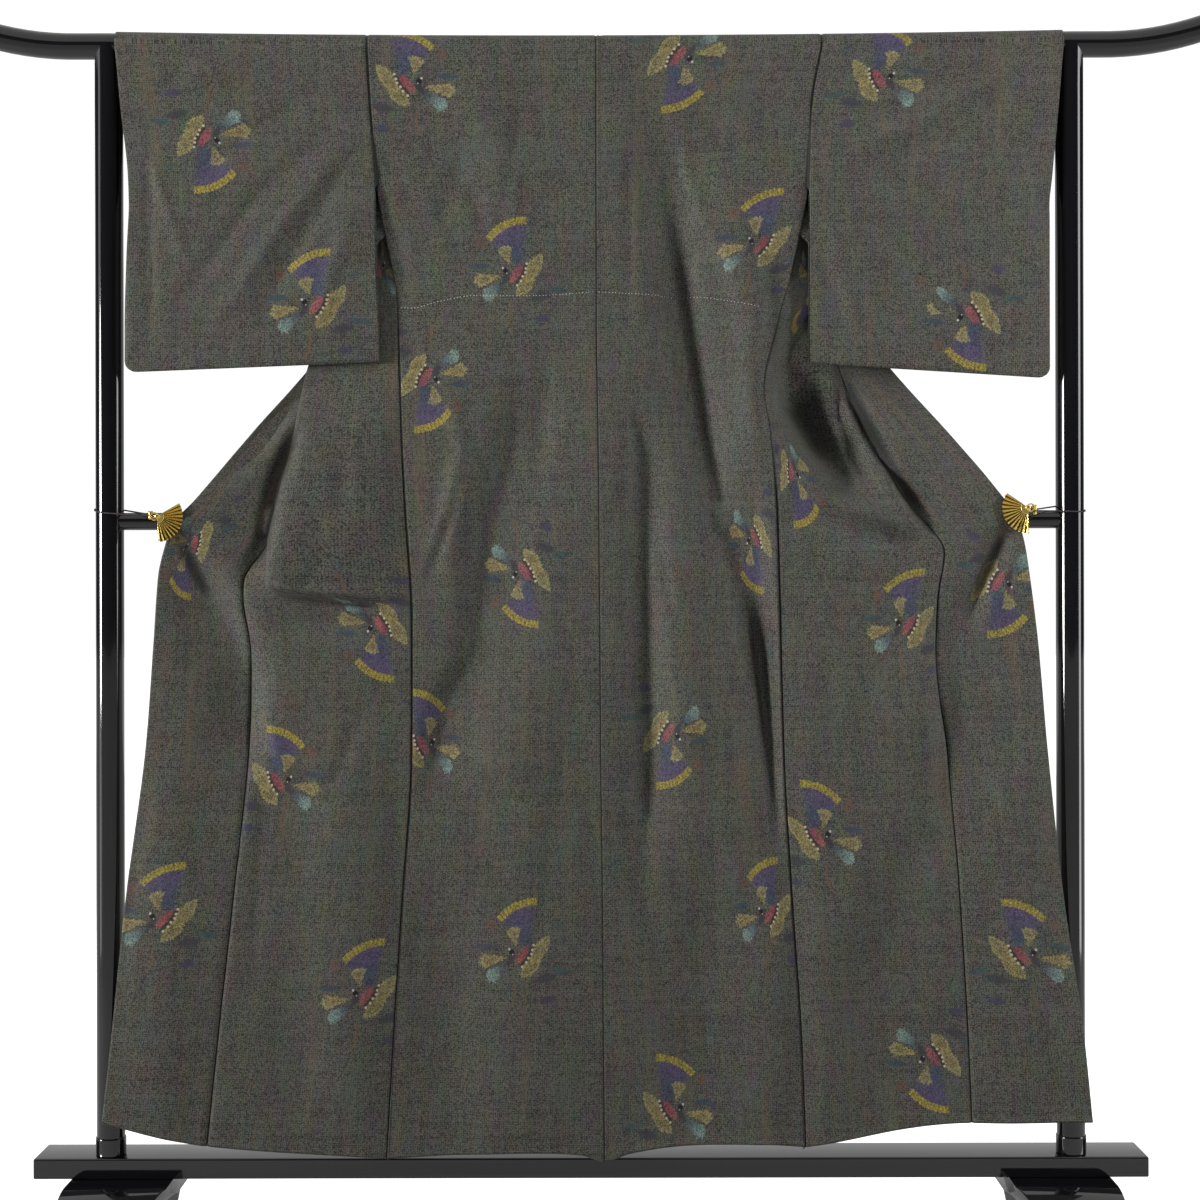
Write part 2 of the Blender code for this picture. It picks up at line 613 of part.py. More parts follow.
def fan_clip(side):
    """Front jaw shaped as a folding fan, rear jaw with the hinge barrel, and the elastic loop."""
    clip = CLIPS[side]
    sign = side_sign(side)
    px, pz = clip["pivot"]
    front = add_object("clip_fan_" + side, fan_mesh(clip, JAW_FRONT, -FAN_PLATE, True), "gold")
    knob = round_bar("knob_" + side, (px, JAW_FRONT - KNOB_LENGTH, pz), (px, JAW_FRONT, pz),
                     KNOB_RADIUS, "gold", 16)
    combine(front, knob, "UNION")
    reach = HINGE_OFFSET + BARREL_RADIUS
    lug_z = pz + math.copysign(LUG_SHIFT, pz - LOOP_HEIGHT)
    lug = box_mesh((reach, FAN_PLATE, LUG_HEIGHT),
                   (px + sign * reach / 2, JAW_FRONT - FAN_PLATE / 2, lug_z))
    combine(front, add_object("lug_" + side, lug, "gold"), "UNION")
    rear = add_object("clip_back_" + side, fan_mesh(clip, JAW_BACK, FAN_PLATE, False), "gold")
    depth = JAW_FRONT + GAP + BARREL_RADIUS
    low, high = sorted((pz, LOOP_HEIGHT + LOOP_TILT * depth))
    hinge_x = px + sign * HINGE_OFFSET
    barrel = round_bar("barrel_" + side, (hinge_x, depth, low - BARREL_END),
                       (hinge_x, depth, high + BARREL_END), BARREL_RADIUS, "gold", 12)
    combine(rear, barrel, "UNION")
    size = (HINGE_OFFSET + BRIDGE_LAP, JAW_BACK + FAN_PLATE - depth, BRIDGE_HEIGHT)
    centre = (px + sign * (HINGE_OFFSET - BRIDGE_LAP) / 2, depth + size[1] / 2, pz)
    combine(rear, add_object("bridge_" + side, box_mesh(size, centre), "gold"), "UNION")
    elastic_loop(side, hinge_x, depth)


def elastic_loop(side, hinge_x, depth):
    """Closed loop from the hinge barrel round the post."""
    sign = side_sign(side)
    near = BARREL_RADIUS + GAP + ELASTIC_RADIUS
    far = POST_RADIUS + GAP + ELASTIC_RADIUS
    far_x = sign * POST_X
    centres = ((Vector((hinge_x, depth, 0)), near), (Vector((far_x, 0, 0)), far))
    span = centres[1][0] - centres[0][0]
    heading = math.atan2(span.y, span.x)
    lean = math.acos((near - far) / span.length)
    line = []
    for (centre, radius), start, end, steps in (
            (centres[0], lean, 2 * math.pi - lean, 8), (centres[1], -lean, lean, 14)):
        for k in range(steps + 1):
            angle = heading + start + (end - start) * k / steps
            spot = centre + radius * Vector((math.cos(angle), math.sin(angle), 0))
            line.append(Vector((spot.x, spot.y, LOOP_HEIGHT + LOOP_TILT * spot.y)))
    bm = bmesh.new()
    rings = []
    for number, point in enumerate(line):
        way = line[(number + 1) % len(line)] - line[number - 1]
        turn = way.to_track_quat("Z", "Y").to_matrix().to_4x4()
        rings.append(bmesh.ops.create_circle(
            bm, segments=6, radius=ELASTIC_RADIUS, matrix=Matrix.Translation(point) @ turn)["verts"])
    for number, low in enumerate(rings):
        high = rings[(number + 1) % len(rings)]
        for k in range(6):
            bm.faces.new((low[k], low[(k + 1) % 6], high[(k + 1) % 6], high[k]))
    bmesh.ops.recalc_face_normals(bm, faces=bm.faces)
    add_object("clip_cord_" + side, bm, "elastic")


def main():
    clear_scene()
    base_beam()
    top_rail()
    mid_rail()
    for side in ("left", "right"):
        foot(side)
        post(side)
        body_panel(side)
        okumi_panel(side)
        sleeve(side)
        fan_clip(side)
    collar()


main()
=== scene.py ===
import math
from bisect import bisect_right

import bmesh
import bpy
from mathutils import Matrix, Vector, noise


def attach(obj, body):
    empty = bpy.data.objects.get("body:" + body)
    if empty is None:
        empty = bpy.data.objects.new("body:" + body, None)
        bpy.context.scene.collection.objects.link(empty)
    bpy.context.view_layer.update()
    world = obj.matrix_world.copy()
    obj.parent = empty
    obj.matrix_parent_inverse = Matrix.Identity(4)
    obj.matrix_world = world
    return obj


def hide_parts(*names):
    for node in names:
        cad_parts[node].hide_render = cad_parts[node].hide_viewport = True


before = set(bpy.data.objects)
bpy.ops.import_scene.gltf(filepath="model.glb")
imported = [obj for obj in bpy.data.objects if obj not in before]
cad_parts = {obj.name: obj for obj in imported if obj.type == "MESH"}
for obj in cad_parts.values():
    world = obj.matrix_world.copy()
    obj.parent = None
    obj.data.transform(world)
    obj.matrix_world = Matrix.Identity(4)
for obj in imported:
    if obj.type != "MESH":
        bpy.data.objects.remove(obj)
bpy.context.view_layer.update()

mm = 0.001
print("frame loaded")


# camera, lights, floor

studio = {
    "cameraPlace": (0.01435, -2.876, 0.923), "lens": 60.1, "sensor": 36.0, "roll": -0.12,
    "farEnd": 100.0, "aimHeight": 1.25, "roomWhite": 1.06, "roomFill": 0.05, "roomGloss": 0.04,
    "floorSize": 60.0, "floorDrop": 0.0005, "floorGrey": 0.18, "floorGlow": 1.2,
    "floorShine": 0.34, "floorRough": 0.85}
white, warm, cool = (1.0, 1.0, 1.0), (1.0, 0.99, 0.97), (0.98, 0.99, 1.0)

# name, place, size, watts, spread in degrees, colour, and whether it lights the cloth,
# shows in the lacquer or does both
softBoxes = (
    ("keyBox", (-13.2, -5.6, 1.7), (3.2, 3.2), 26, 15.5, warm, "both"),
    ("frontBox", (1.6, -6.0, 1.6), (2.6, 2.6), 19, 180, cool, "cloth"),
    ("leftSide", (-2.3, -1.1, 1.5), (0.5, 1.6), 39, 180, warm, "cloth"),
    ("rightSide", (2.3, -1.3, 1.5), (0.5, 1.6), 44, 180, cool, "cloth"),
    ("overhead", (0.0, -1.5, 3.6), (2.6, 1.2), 26, 180, white, "cloth"),
    ("rearLeft", (-1.9, 2.7, 1.9), (1.4, 1.4), 130, 180, warm, "cloth"),
    ("rearRight", (2.4, 2.2, 1.2), (1.4, 1.4), 55, 180, cool, "cloth"),
    ("leftStrip", (-3.0, -0.7, 1.3), (0.9, 2.6), 9, 180, white, "gloss"),
    ("rightStrip", (3.0, -0.7, 1.3), (0.9, 2.6), 34, 180, (0.97, 0.985, 1.0), "gloss"),
    ("skyBox", (0.0, -0.2, 4.2), (7.0, 7.8), 105, 180, white, "gloss"),
    ("rearBox", (0.0, 4.2, 1.5), (12.0, 2.4), 40, 180, white, "gloss"))


def makeStudio():
    scene = bpy.context.scene
    scene.view_settings.view_transform = "Standard"
    lens = bpy.data.cameras.new("camera")
    lens.lens, lens.sensor_width, lens.clip_end = studio["lens"], studio["sensor"], studio["farEnd"]
    camera = bpy.data.objects.new("camera", lens)
    camera.location = studio["cameraPlace"]
    camera.rotation_euler = (math.radians(90), 0.0, 0.0)
    camera.rotation_euler.rotate_axis("Z", math.radians(studio["roll"]))
    scene.collection.objects.link(camera)
    scene.camera = camera

    aim = Vector((0.0, 0.0, studio["aimHeight"]))
    for name, place, size, watts, spread, colour, use in softBoxes:
        lamp = bpy.data.lights.new(name, "AREA")
        lamp.shape, lamp.size, lamp.size_y = "RECTANGLE", *size
        lamp.energy, lamp.color, lamp.spread = watts, colour, math.radians(spread)
        box = bpy.data.objects.new(name, lamp)
        box.location = place
        box.rotation_euler = (aim - Vector(place)).to_track_quat("-Z", "Y").to_euler()
        box.visible_diffuse, box.visible_glossy = use != "gloss", use != "cloth"
        box.visible_camera = False
        scene.collection.objects.link(box)

    world = bpy.data.worlds.new("studioRoom")
    scene.world = world
    world.use_nodes = True
    nodes, links = world.node_tree.nodes, world.node_tree.links
    nodes.clear()
    ray = nodes.new("ShaderNodeLightPath")
    out = nodes.new("ShaderNodeOutputWorld")
    shown = None                         # what lights the cloth, then reflections, then the camera's view
    for strength, kind in ((studio["roomFill"], None), (studio["roomGloss"], "Is Glossy Ray"),
                           (studio["roomWhite"], "Is Camera Ray")):
        wall = nodes.new("ShaderNodeBackground")
        wall.inputs["Color"].default_value = (1, 1, 1, 1)
        wall.inputs["Strength"].default_value = strength
        if kind:
            mix = nodes.new("ShaderNodeMixShader")
            links.new(ray.outputs[kind], mix.inputs[0])
            links.new(shown, mix.inputs[1])
            links.new(wall.outputs[0], mix.inputs[2])
            shown = mix.outputs[0]
        else:
            shown = wall.outputs[0]
    links.new(shown, out.inputs["Surface"])

    # white paper: bright to the eye, dimmer in reflections, faint as a light on the cloth
    paper = Finish("paper", (studio["floorGrey"],) * 3, studio["floorRough"], Emission_Color=(1, 1, 1, 1))
    ray = paper.tree.nodes.new("ShaderNodeLightPath")
    seen = paper.math("MULTIPLY", ray.outputs["Is Camera Ray"], studio["floorGlow"])
    seen = paper.math("MULTIPLY_ADD", ray.outputs["Is Glossy Ray"], studio["floorShine"], seen)
    paper.feed(paper.shader.inputs["Emission Strength"], seen)
    bm = bmesh.new()
    bmesh.ops.create_grid(bm, x_segments=2, y_segments=2, size=studio["floorSize"] / 2)
    bmesh.ops.translate(bm, vec=(0, 0, -studio["floorDrop"]), verts=bm.verts)
    keepPiece("floor", bm, paper.material, unit=1.0)


# materials

class Finish:
    # a principled material with short calls for its nodes

    def __init__(self, name, colour, roughness, **sockets):
        self.material = bpy.data.materials.new(name)
        self.material.use_nodes = True
        self.tree = self.material.node_tree
        self.shader = self.tree.nodes["Principled BSDF"]
        self.shader.inputs["Base Color"].default_value = (*colour, 1.0)
        self.shader.inputs["Roughness"].default_value = roughness
        for socket, value in sockets.items():
            self.shader.inputs[socket.replace("_", " ")].default_value = value

    def node(self, kind, *inputs, **settings):
        made = self.tree.nodes.new("ShaderNode" + kind)
        for key, value in settings.items():
            setattr(made, key, value)
        for number, value in enumerate(inputs):
            self.feed(made.inputs[number], value)
        return made.outputs[0]

    def feed(self, socket, value):
        if isinstance(value, bpy.types.NodeSocket):
            self.tree.links.new(value, socket)
        elif value is not None:
            socket.default_value = value

    def math(self, operation, a, b=None, c=None):
        return self.node("Math", a, b, c, operation=operation)

    def plus(self, a, b):
        return self.math("ADD", a, b)

    def minus(self, a, b):
        return self.math("SUBTRACT", a, b)

    def times(self, a, b):
        return self.math("MULTIPLY", a, b)

    def axes(self, vector):
        made = self.tree.nodes.new("ShaderNodeSeparateXYZ")
        self.feed(made.inputs[0], vector)
        return made.outputs[0], made.outputs[1]

    def reach(self, vector, centre=(0, 0, 0)):
        made = self.tree.nodes.new("ShaderNodeVectorMath")
        made.operation = "DISTANCE"
        self.feed(made.inputs[0], vector)
        made.inputs[1].default_value = centre
        return made.outputs["Value"]

    def blend(self, share, first, second, way="MIX"):
        made = self.tree.nodes.new("ShaderNodeMix")
        made.data_type, made.blend_type = "RGBA", way
        self.feed(made.inputs[0], share)
        for socket, value in ((made.inputs[6], first), (made.inputs[7], second)):
            self.feed(socket, (*value, 1.0) if isinstance(value, tuple) else value)
        return made.outputs[2]

    def mapped(self, vector, scale=(1, 1, 1), place=(0, 0, 0), turn=0.0, way="POINT"):
        return self.node("Mapping", vector, place, (0, 0, turn), scale, vector_type=way)

    def cloud(self, vector, scale=1.0, detail=2.0, output="Fac"):
        made = self.tree.nodes.new("ShaderNodeTexNoise")
        self.feed(made.inputs["Vector"], vector)
        made.inputs["Scale"].default_value = scale
        made.inputs["Detail"].default_value = detail
        return made.outputs[output]

    def place(self):
        return self.tree.nodes.new("ShaderNodeTexCoord").outputs["Object"]

    def layer(self, name):
        # a number kept on the mesh's points
        made = self.tree.nodes.new("ShaderNodeAttribute")
        made.attribute_name = name
        return made.outputs["Fac"]

    def knots(self, flat, wide, high):
        # a chance value for each small rectangle of the cloth
        cell = self.node("VectorMath", self.mapped(flat, (1 / wide, 1 / high, 1)), operation="FLOOR")
        made = self.tree.nodes.new("ShaderNodeTexWhiteNoise")
        made.noise_dimensions = "2D"
        self.feed(made.inputs["Vector"], cell)
        return made.outputs["Value"]

    def weave(self, flat, pitch):
        # crossing threads: one wave along, one across
        x, y = self.axes(flat)
        waves = [self.math("SINE", self.times(way, 2 * math.pi / pitch)) for way in (x, y)]
        return self.plus(*waves)

    def between(self, value, low, high, first=0.0, last=1.0):
        return self.node("MapRange", value, low, high, first, last, interpolation_type="SMOOTHSTEP")

    def bump(self, height, strength, distance):
        made = self.tree.nodes.new("ShaderNodeBump")
        made.inputs["Strength"].default_value = strength
        made.inputs["Distance"].default_value = distance
        self.feed(made.inputs["Height"], height)
        self.feed(self.shader.inputs["Normal"], made.outputs[0])


# threadCell and weave in metres; slubs, bars and warps as how often they change across and
# along the cloth, their detail and their share in its tone
silkLook = {
    "dark": (0.0175, 0.0175, 0.0150), "light": (0.094, 0.0925, 0.0780),
    # the last colour of the next line is painted shade: the near-black that the cloth is darkened towards at
    # seams, in deep folds and on turned-in strips
    "brown": (0.110, 0.078, 0.048), "blue": (0.066, 0.078, 0.088), "paintedShade": (0.006, 0.0055, 0.005),
    "threadCell": (0.0010, 0.0016), "weave": 0.0031, "roughness": 0.58, "sheen": 0.05,
    "sheenRough": 0.45, "specular": 0.22, "knotShare": 0.58, "weaveShare": 0.09,
    "slubs": ((34, 760, 1), 2.0, 0.42), "warps": ((520, 9, 1), 1.0, 0.30),
    "bars": ((5, 120, 1), 2.0, 0.30), "toneLow": 0.50, "toneHigh": 1.0, "patchShare": 0.34,
    "shadeMost": 0.82, "threadBump": 0.30, "threadHeight": 0.0006}
# the brown and blue stains: scale, place, detail, where they set in, share
stains = {"brown": ((42, 2.2, 1), (3.7, 1.9, 0), 1.5, 0.54, 0.34),
          "blue": ((16, 9, 1), (8.1, 4.4, 0), 2.0, 0.56, 0.30)}
motifLook = {
    "frayScale": 34.0, "fray": 0.95, "thinCover": 0.42, "solidFrom": 0.8, "crisp": 0.16, "faint": 0.55,
    "fanOpening": 1.08, "rimStart": 0.62, "rimEnd": 0.12, "rimShare": 0.75,
    "wornDark": (0.62, 0.62, 0.62), "wornLight": (1.42, 1.40, 1.36), "stemShare": 0.65,
    "stemBow": 2.2, "stemFray": 2.4, "stemEnd": 8.0, "beadRadius": 0.018,
    "beadColour": (0.36, 0.32, 0.25)}

# butterfly woven with thrown threads, in units of its scale, x right and y up: kind, centre,
# half length, half width, turn, colours at the root and tip, strength; rimmed ones have a paler rim
wingShapes = (
    ("leaf", (-0.60, 0.23), 0.20, 0.060, -10, (0.018, 0.048, 0.060), (0.034, 0.074, 0.080), 0.72),
    ("leaf", (-0.38, 0.33), 0.20, 0.085, 14, (0.024, 0.026, 0.044), (0.026, 0.026, 0.036), 0.75),
    ("spot", (-0.40, 0.62), 0.14, 0.070, 8, (0.040, 0.034, 0.090), (0.026, 0.026, 0.050), 0.75),
    ("leaf", (0.49, -0.08), 0.20, 0.055, 4, (0.020, 0.038, 0.066), (0.032, 0.060, 0.080), 0.78),
    ("spot", (0.44, -0.39), 0.10, 0.110, 0, (0.120, 0.056, 0.040), (0.100, 0.056, 0.044), 0.62),
    ("spot", (-0.55, -0.38), 0.12, 0.070, 0, (0.034, 0.060, 0.066), (0.034, 0.052, 0.066), 0.40),
    ("fan", (-0.03, -0.325), 0.335, 0.345, -72, (0.030, 0.044, 0.078), (0.062, 0.046, 0.105), 0.85),
    ("fan", (0.29, 0.23), 0.22, 0.125, 34, (0.030, 0.040, 0.066), (0.150, 0.225, 0.205), 0.85),
    ("rimmed leaf", (-0.165, 0.165), 0.22, 0.110, 48, (0.140, 0.108, 0.042), (0.170, 0.150, 0.066), 0.85),
    ("rimmed leaf", (-0.300, -0.055), 0.25, 0.105, 56, (0.170, 0.150, 0.070), (0.145, 0.112, 0.046), 0.85),
    ("rimmed fan", (0.375, 0.085), 0.22, 0.125, 11, (0.150, 0.082, 0.030), (0.170, 0.142, 0.066), 0.85),
    ("rimmed fan", (0.080, -0.225), 0.14, 0.140, -76, (0.130, 0.082, 0.046), (0.175, 0.152, 0.066), 0.85),
    ("leaf", (-0.112, 0.030), 0.20, 0.046, 57, (0.018, 0.013, 0.012), (0.018, 0.013, 0.012), 0.85),
    ("leaf", (0.120, 0.075), 0.13, 0.060, 60, (0.026, 0.018, 0.030), (0.030, 0.020, 0.034), 0.75),
    ("spot", (-0.040, 0.015), 0.165, 0.062, 53, (0.170, 0.044, 0.058), (0.210, 0.066, 0.070), 0.9))
wingRim = (0.240, 0.215, 0.090)
crest = {"centre": (-0.22, 0.01), "radius": 0.700, "half": 0.056, "from": -93, "to": -39,
         "soften": 3, "colour": (0.225, 0.185, 0.036), "valley": (0.160, 0.128, 0.028),
         "ribs": 74.0, "ribFray": 5.0, "ribDepth": 0.004, "fray": 0.03, "edge": 0.014}
# start, end, half width, colour
stems = (
    ((0.05, 0.38), (0.11, 0.74), 0.020, (0.110, 0.064, 0.036)),
    ((0.11, 0.74), (0.26, 1.14), 0.009, (0.022, 0.018, 0.020)),
    ((0.11, 0.74), (-0.26, 0.62), 0.007, (0.022, 0.018, 0.020)),
    ((0.17, -0.74), (0.20, -0.96), 0.009, (0.036, 0.032, 0.034)))
beads = ((-0.042, 0.175), (-0.100, 0.116), (-0.129, 0.057), (-0.172, 0.005), (-0.183, -0.050),
         (-0.200, -0.113))
eye = (((0.115, -0.020), 0.038, (0.008, 0.006, 0.008)), ((0.150, -0.058), 0.017, (0.36, 0.34, 0.36)),
       ((0.098, 0.012), 0.011, (0.26, 0.25, 0.26)))


def drawButterfly(silk, ground, knots):
    # paints the butterfly of the second map over the ground colour, thread by thread
    look = motifLook
    where = silk.node("UVMap", uv_map="motif")
    wobble = silk.minus(silk.cloud(where, look["frayScale"], 3.0), 0.5)
    cover = silk.between(knots, 0.0, 0.75, look["thinCover"], 1.0)
    colour, painted = ground, 0.0
    for kind, centre, length, width, turn, root, tip, strength in wingShapes:
        local = silk.mapped(where, (length, width, 1), (*centre, 0), math.radians(turn), "TEXTURE")
        along, across = silk.axes(local)
        across = silk.math("ABSOLUTE", across)
        if kind.endswith("leaf"):
            inside = silk.minus(silk.minus(1.0, silk.times(along, along)), across)
        elif kind == "spot":
            inside = silk.minus(1.0, silk.reach(local))
        else:
            opening = silk.times(silk.plus(along, look["fanOpening"]), 0.5)
            rim = silk.minus(silk.minus(1.0, along), silk.times(silk.times(across, across), 0.5))
            inside = silk.math("MINIMUM", silk.minus(opening, across), rim)
        solid = strength > look["solidFrom"]
        rough = silk.plus(inside, silk.times(wobble, look["fray"]))
        soft = look["crisp"] if solid else look["faint"]
        mask = silk.times(silk.between(rough, 0.0, soft, 0.0, strength), cover)
        tone = silk.blend(silk.between(along, -0.7, 0.9), root, tip)
        if kind.startswith("rimmed"):
            rim = silk.between(rough, look["rimStart"], look["rimEnd"], 0.0, look["rimShare"])
            tone = silk.blend(rim, tone, wingRim)
        if solid:
            painted = silk.math("MAXIMUM", painted, mask)
        colour = silk.blend(mask, colour, tone)
    colour, mask = drawCrest(silk, where, colour, wobble, cover)
    painted = silk.math("MAXIMUM", painted, mask)
    colour = drawStems(silk, where, colour, wobble)
    worn = silk.blend(silk.between(knots, 0.0, 1.0), look["wornDark"], look["wornLight"])
    colour = silk.blend(painted, colour, silk.blend(1.0, colour, worn, "MULTIPLY"))
    return drawBeads(silk, where, colour)


def drawCrest(silk, where, colour, wobble, cover):
    away = silk.node("VectorMath", where, (*crest["centre"], 0), operation="SUBTRACT")
    along, up = silk.axes(away)
    angle = silk.math("ARCTAN2", up, along)
    ribs = silk.math("MULTIPLY_ADD", angle, crest["ribs"], silk.times(wobble, crest["ribFray"]))
    ribs = silk.math("SINE", ribs)
    off = silk.math("ABSOLUTE", silk.minus(silk.reach(away), crest["radius"]))
    edge = silk.minus(crest["half"], silk.minus(off, silk.times(ribs, crest["ribDepth"])))
    edge = silk.plus(edge, silk.times(wobble, crest["fray"]))
    mask = silk.times(silk.between(edge, 0.0, crest["edge"]), cover)
    first, last, soften = (math.radians(crest[key]) for key in ("from", "to", "soften"))
    ends = silk.times(silk.between(angle, first, first + soften), silk.between(angle, last, last - soften))
    mask = silk.times(mask, ends)
    tone = silk.blend(silk.between(ribs, -1.4, 0.7), crest["valley"], crest["colour"])
    return silk.blend(mask, colour, tone), mask


def drawStems(silk, where, colour, wobble):
    look = motifLook
    for start, end, half, tone in stems:
        first, last = Vector(start), Vector(end)
        middle, span = (first + last) / 2, last - first
        local = silk.mapped(where, (span.length / 2, half, 1), (*middle, 0),
                            math.atan2(span.y, span.x), "TEXTURE")
        along, across = silk.axes(local)
        bow = silk.times(silk.times(along, along), look["stemBow"])
        across = silk.minus(silk.plus(across, bow), look["stemBow"] / 2)
        along, across = (silk.minus(1.0, silk.math("ABSOLUTE", way)) for way in (along, across))
        mask = silk.math("MINIMUM", silk.times(along, look["stemEnd"]),
                         silk.plus(across, silk.times(wobble, look["stemFray"])))
        colour = silk.blend(silk.between(mask, 0.0, 0.5, 0.0, look["stemShare"]), colour, tone)
    return colour


def drawBeads(silk, where, colour):
    # pale dots beside the body, and the eye
    dots = [(place, motifLook["beadRadius"], motifLook["beadColour"]) for place in beads] + list(eye)
    for (x, y), radius, tone in dots:
        mask = silk.between(silk.reach(where, (x, y, 0)), radius * 1.25, radius * 0.7)
        colour = silk.blend(mask, colour, tone)
    return colour


def makeSilk():
    look = silkLook
    silk = Finish("slubSilk", look["dark"], look["roughness"], Sheen_Weight=look["sheen"],
                  Sheen_Roughness=look["sheenRough"], Specular_IOR_Level=look["specular"])
    flat = silk.node("UVMap", uv_map="cloth")
    short, long = look["threadCell"]
    knots = silk.math("MULTIPLY_ADD", silk.knots(flat, long, short), 0.9, -0.4)
    knots = silk.math("MULTIPLY_ADD", silk.knots(flat, short, long), 0.9, knots)
    tone, grains = silk.times(knots, look["knotShare"]), {}
    for name in ("slubs", "warps", "bars"):
        scale, detail, share = look[name]
        grains[name] = silk.cloud(silk.mapped(flat, scale), 1.0, detail)
        tone = silk.math("MULTIPLY_ADD", grains[name], share, tone)
    tone = silk.math("MULTIPLY_ADD", silk.weave(flat, look["weave"]), look["weaveShare"], tone)
    ground = silk.blend(silk.between(tone, look["toneLow"], look["toneHigh"]), look["dark"], look["light"])
    for name, (scale, place, detail, start, share) in stains.items():
        stain = silk.cloud(silk.mapped(flat, scale, place), 1.0, detail)
        ground = silk.blend(silk.between(stain, start, 0.80, 0.0, share), ground, look[name])
    patches = silk.cloud(silk.mapped(flat, (62, 17, 1), (2.2, 7.1, 0)), 1.0, 2.5, "Color")
    ground = silk.blend(look["patchShare"], ground, silk.blend(1.0, ground, patches, "OVERLAY"))
    colour = drawButterfly(silk, ground, knots)
    # painted shade: the 'seam' layer mixes the colour towards near-black in seam crevices, deep folds and
    # turned-in strips
    shade = silk.between(silk.layer("seam"), 0.0, 1.0, 0.0, look["shadeMost"])
    silk.feed(silk.shader.inputs["Base Color"], silk.blend(shade, colour, look["paintedShade"]))
    threads = silk.math("MULTIPLY_ADD", grains["slubs"], 0.6, silk.times(knots, 0.4))
    silk.bump(threads, look["threadBump"], look["threadHeight"])
    return silk.material


# wiped and dusty are the two roughnesses that the gloss wanders between
lacquerLook = {"colour": (0.0045, 0.0045, 0.0055), "coat": 0.6, "coatRough": 0.03,
               "dustScale": 9.0, "wiped": 0.055, "dusty": 0.12}


def makeLacquer():
    look = lacquerLook
    lacquer = Finish("blackLacquer", look["colour"], look["wiped"],
                     Coat_Weight=look["coat"], Coat_Roughness=look["coatRough"])
    dust = lacquer.cloud(lacquer.place(), look["dustScale"], 5.0)
    lacquer.feed(lacquer.shader.inputs["Roughness"],
                 lacquer.between(dust, 0.35, 0.75, look["wiped"], look["dusty"]))
    return lacquer.material


# gap is painted shade: the dark brown laid into the fan's pleat valleys
goldLook = {"colour": (1.0, 0.77, 0.24), "worn": (0.84, 0.55, 0.12), "gap": (0.16, 0.08, 0.015),
            "smooth": 0.2, "rough": 0.34, "stainScale": 120.0, "grainScale": 900.0,
            "grain": 0.10, "grainHeight": 0.0004}


def makeGold():
    look = goldLook
    gold = Finish("gildedMetal", look["colour"], look["smooth"], Metallic=1.0)
    stain = gold.cloud(gold.place(), look["stainScale"], 4.0)
    colour = gold.blend(gold.between(stain, 0.42, 0.75), look["colour"], look["worn"])
    # painted shade: the pleat valleys, marked by the 'gap' layer, are darkened towards dark brown
    colour = gold.blend(gold.between(gold.layer("gap"), 0.55, 1.0), colour, look["gap"])
    gold.feed(gold.shader.inputs["Base Color"], colour)
    gold.feed(gold.shader.inputs["Roughness"], gold.between(stain, 0.3, 0.8, look["smooth"], look["rough"]))
    gold.bump(gold.cloud(gold.place(), look["grainScale"]), look["grain"], look["grainHeight"])
    return gold.material


# name, roughness, valley and ridge colours, scale of the twist, bump
cordLooks = {
    "elastic": ("coveredElastic", 0.6, (0.008, 0.007, 0.009), (0.045, 0.034, 0.045), (900, 900, 2200), 0.5),
    "thread": ("tackingThread", 0.55, (0.42, 0.40, 0.36), (0.78, 0.76, 0.70), (2400, 2400, 2400), 0.0)}


def makeCordFinish(kind):
    name, roughness, valleyColour, ridge, scale, bumped = cordLooks[kind]
    finish = Finish(name, ridge, roughness)
    twist = finish.cloud(finish.mapped(finish.place(), scale), 1.0, 1.0)
    finish.feed(finish.shader.inputs["Base Color"], finish.blend(twist, valleyColour, ridge))
    if bumped:
        finish.bump(twist, bumped, 0.0004)
    return finish.material


def keepPiece(name, bm, material, sharp=50, unit=mm):
    # closes a bmesh, in its own unit, into an object at the origin
    bmesh.ops.scale(bm, vec=(unit, unit, unit), verts=bm.verts)
    mesh = bpy.data.meshes.new(name)
    bm.to_mesh(mesh)
    bm.free()
    mesh.materials.append(material)
    mesh.shade_smooth()
    mesh.set_sharp_from_angle(angle=math.radians(sharp))
    piece = bpy.data.objects.new(name, mesh)
    bpy.context.scene.collection.objects.link(piece)
    return piece


def thicken(piece, wall, offset=-1.0):
    plate = piece.modifiers.new("plate", "SOLIDIFY")
    plate.thickness, plate.offset = wall * mm, offset
    return plate


def standsFor(piece, slotName, *nodes):
    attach(piece, "root")
    if nodes:
        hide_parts(*nodes)
    return piece


# the garment: tables in millimetres, as the cloth hangs

def table(names, rows):
    return dict(zip(names.split(), zip(*rows)))


backShape = table("height left middle right sideY middleY", (
    (130, -290, 19, 305, -36, -40),
    (300, -280, 18, 299, -35, -40),
    (500, -267, 17, 286, -34, -40),
    (700, -254, 15, 275, -33, -39),
    (900, -253, 14, 270, -32, -38),
    (1050, -262, 13, 266, -31, -36),
    (1165, -268, 12, 258, -26, -33),
    (1225, -270, 11, 250, -22, -31),
    (1307, -273, 10, 267, -18, -29),
    (1364, -276, 10, 282, -16, -28),
    (1442, -290, 10, 299, -19, -27),
    (1523, -304, 10, 313, -21, -26),
    (1630, -312, 10, 317, -22, -23),
    (1713, -317, 10, 332, -22, -22)))
shoulderLine = backShape["height"][-1]
backHem = table("x height", (
    (-290, 131), (-200, 136), (-60, 139), (-12, 136), (19, 127),
    (55, 138), (110, 147), (170, 150), (250, 150), (305, 146)))

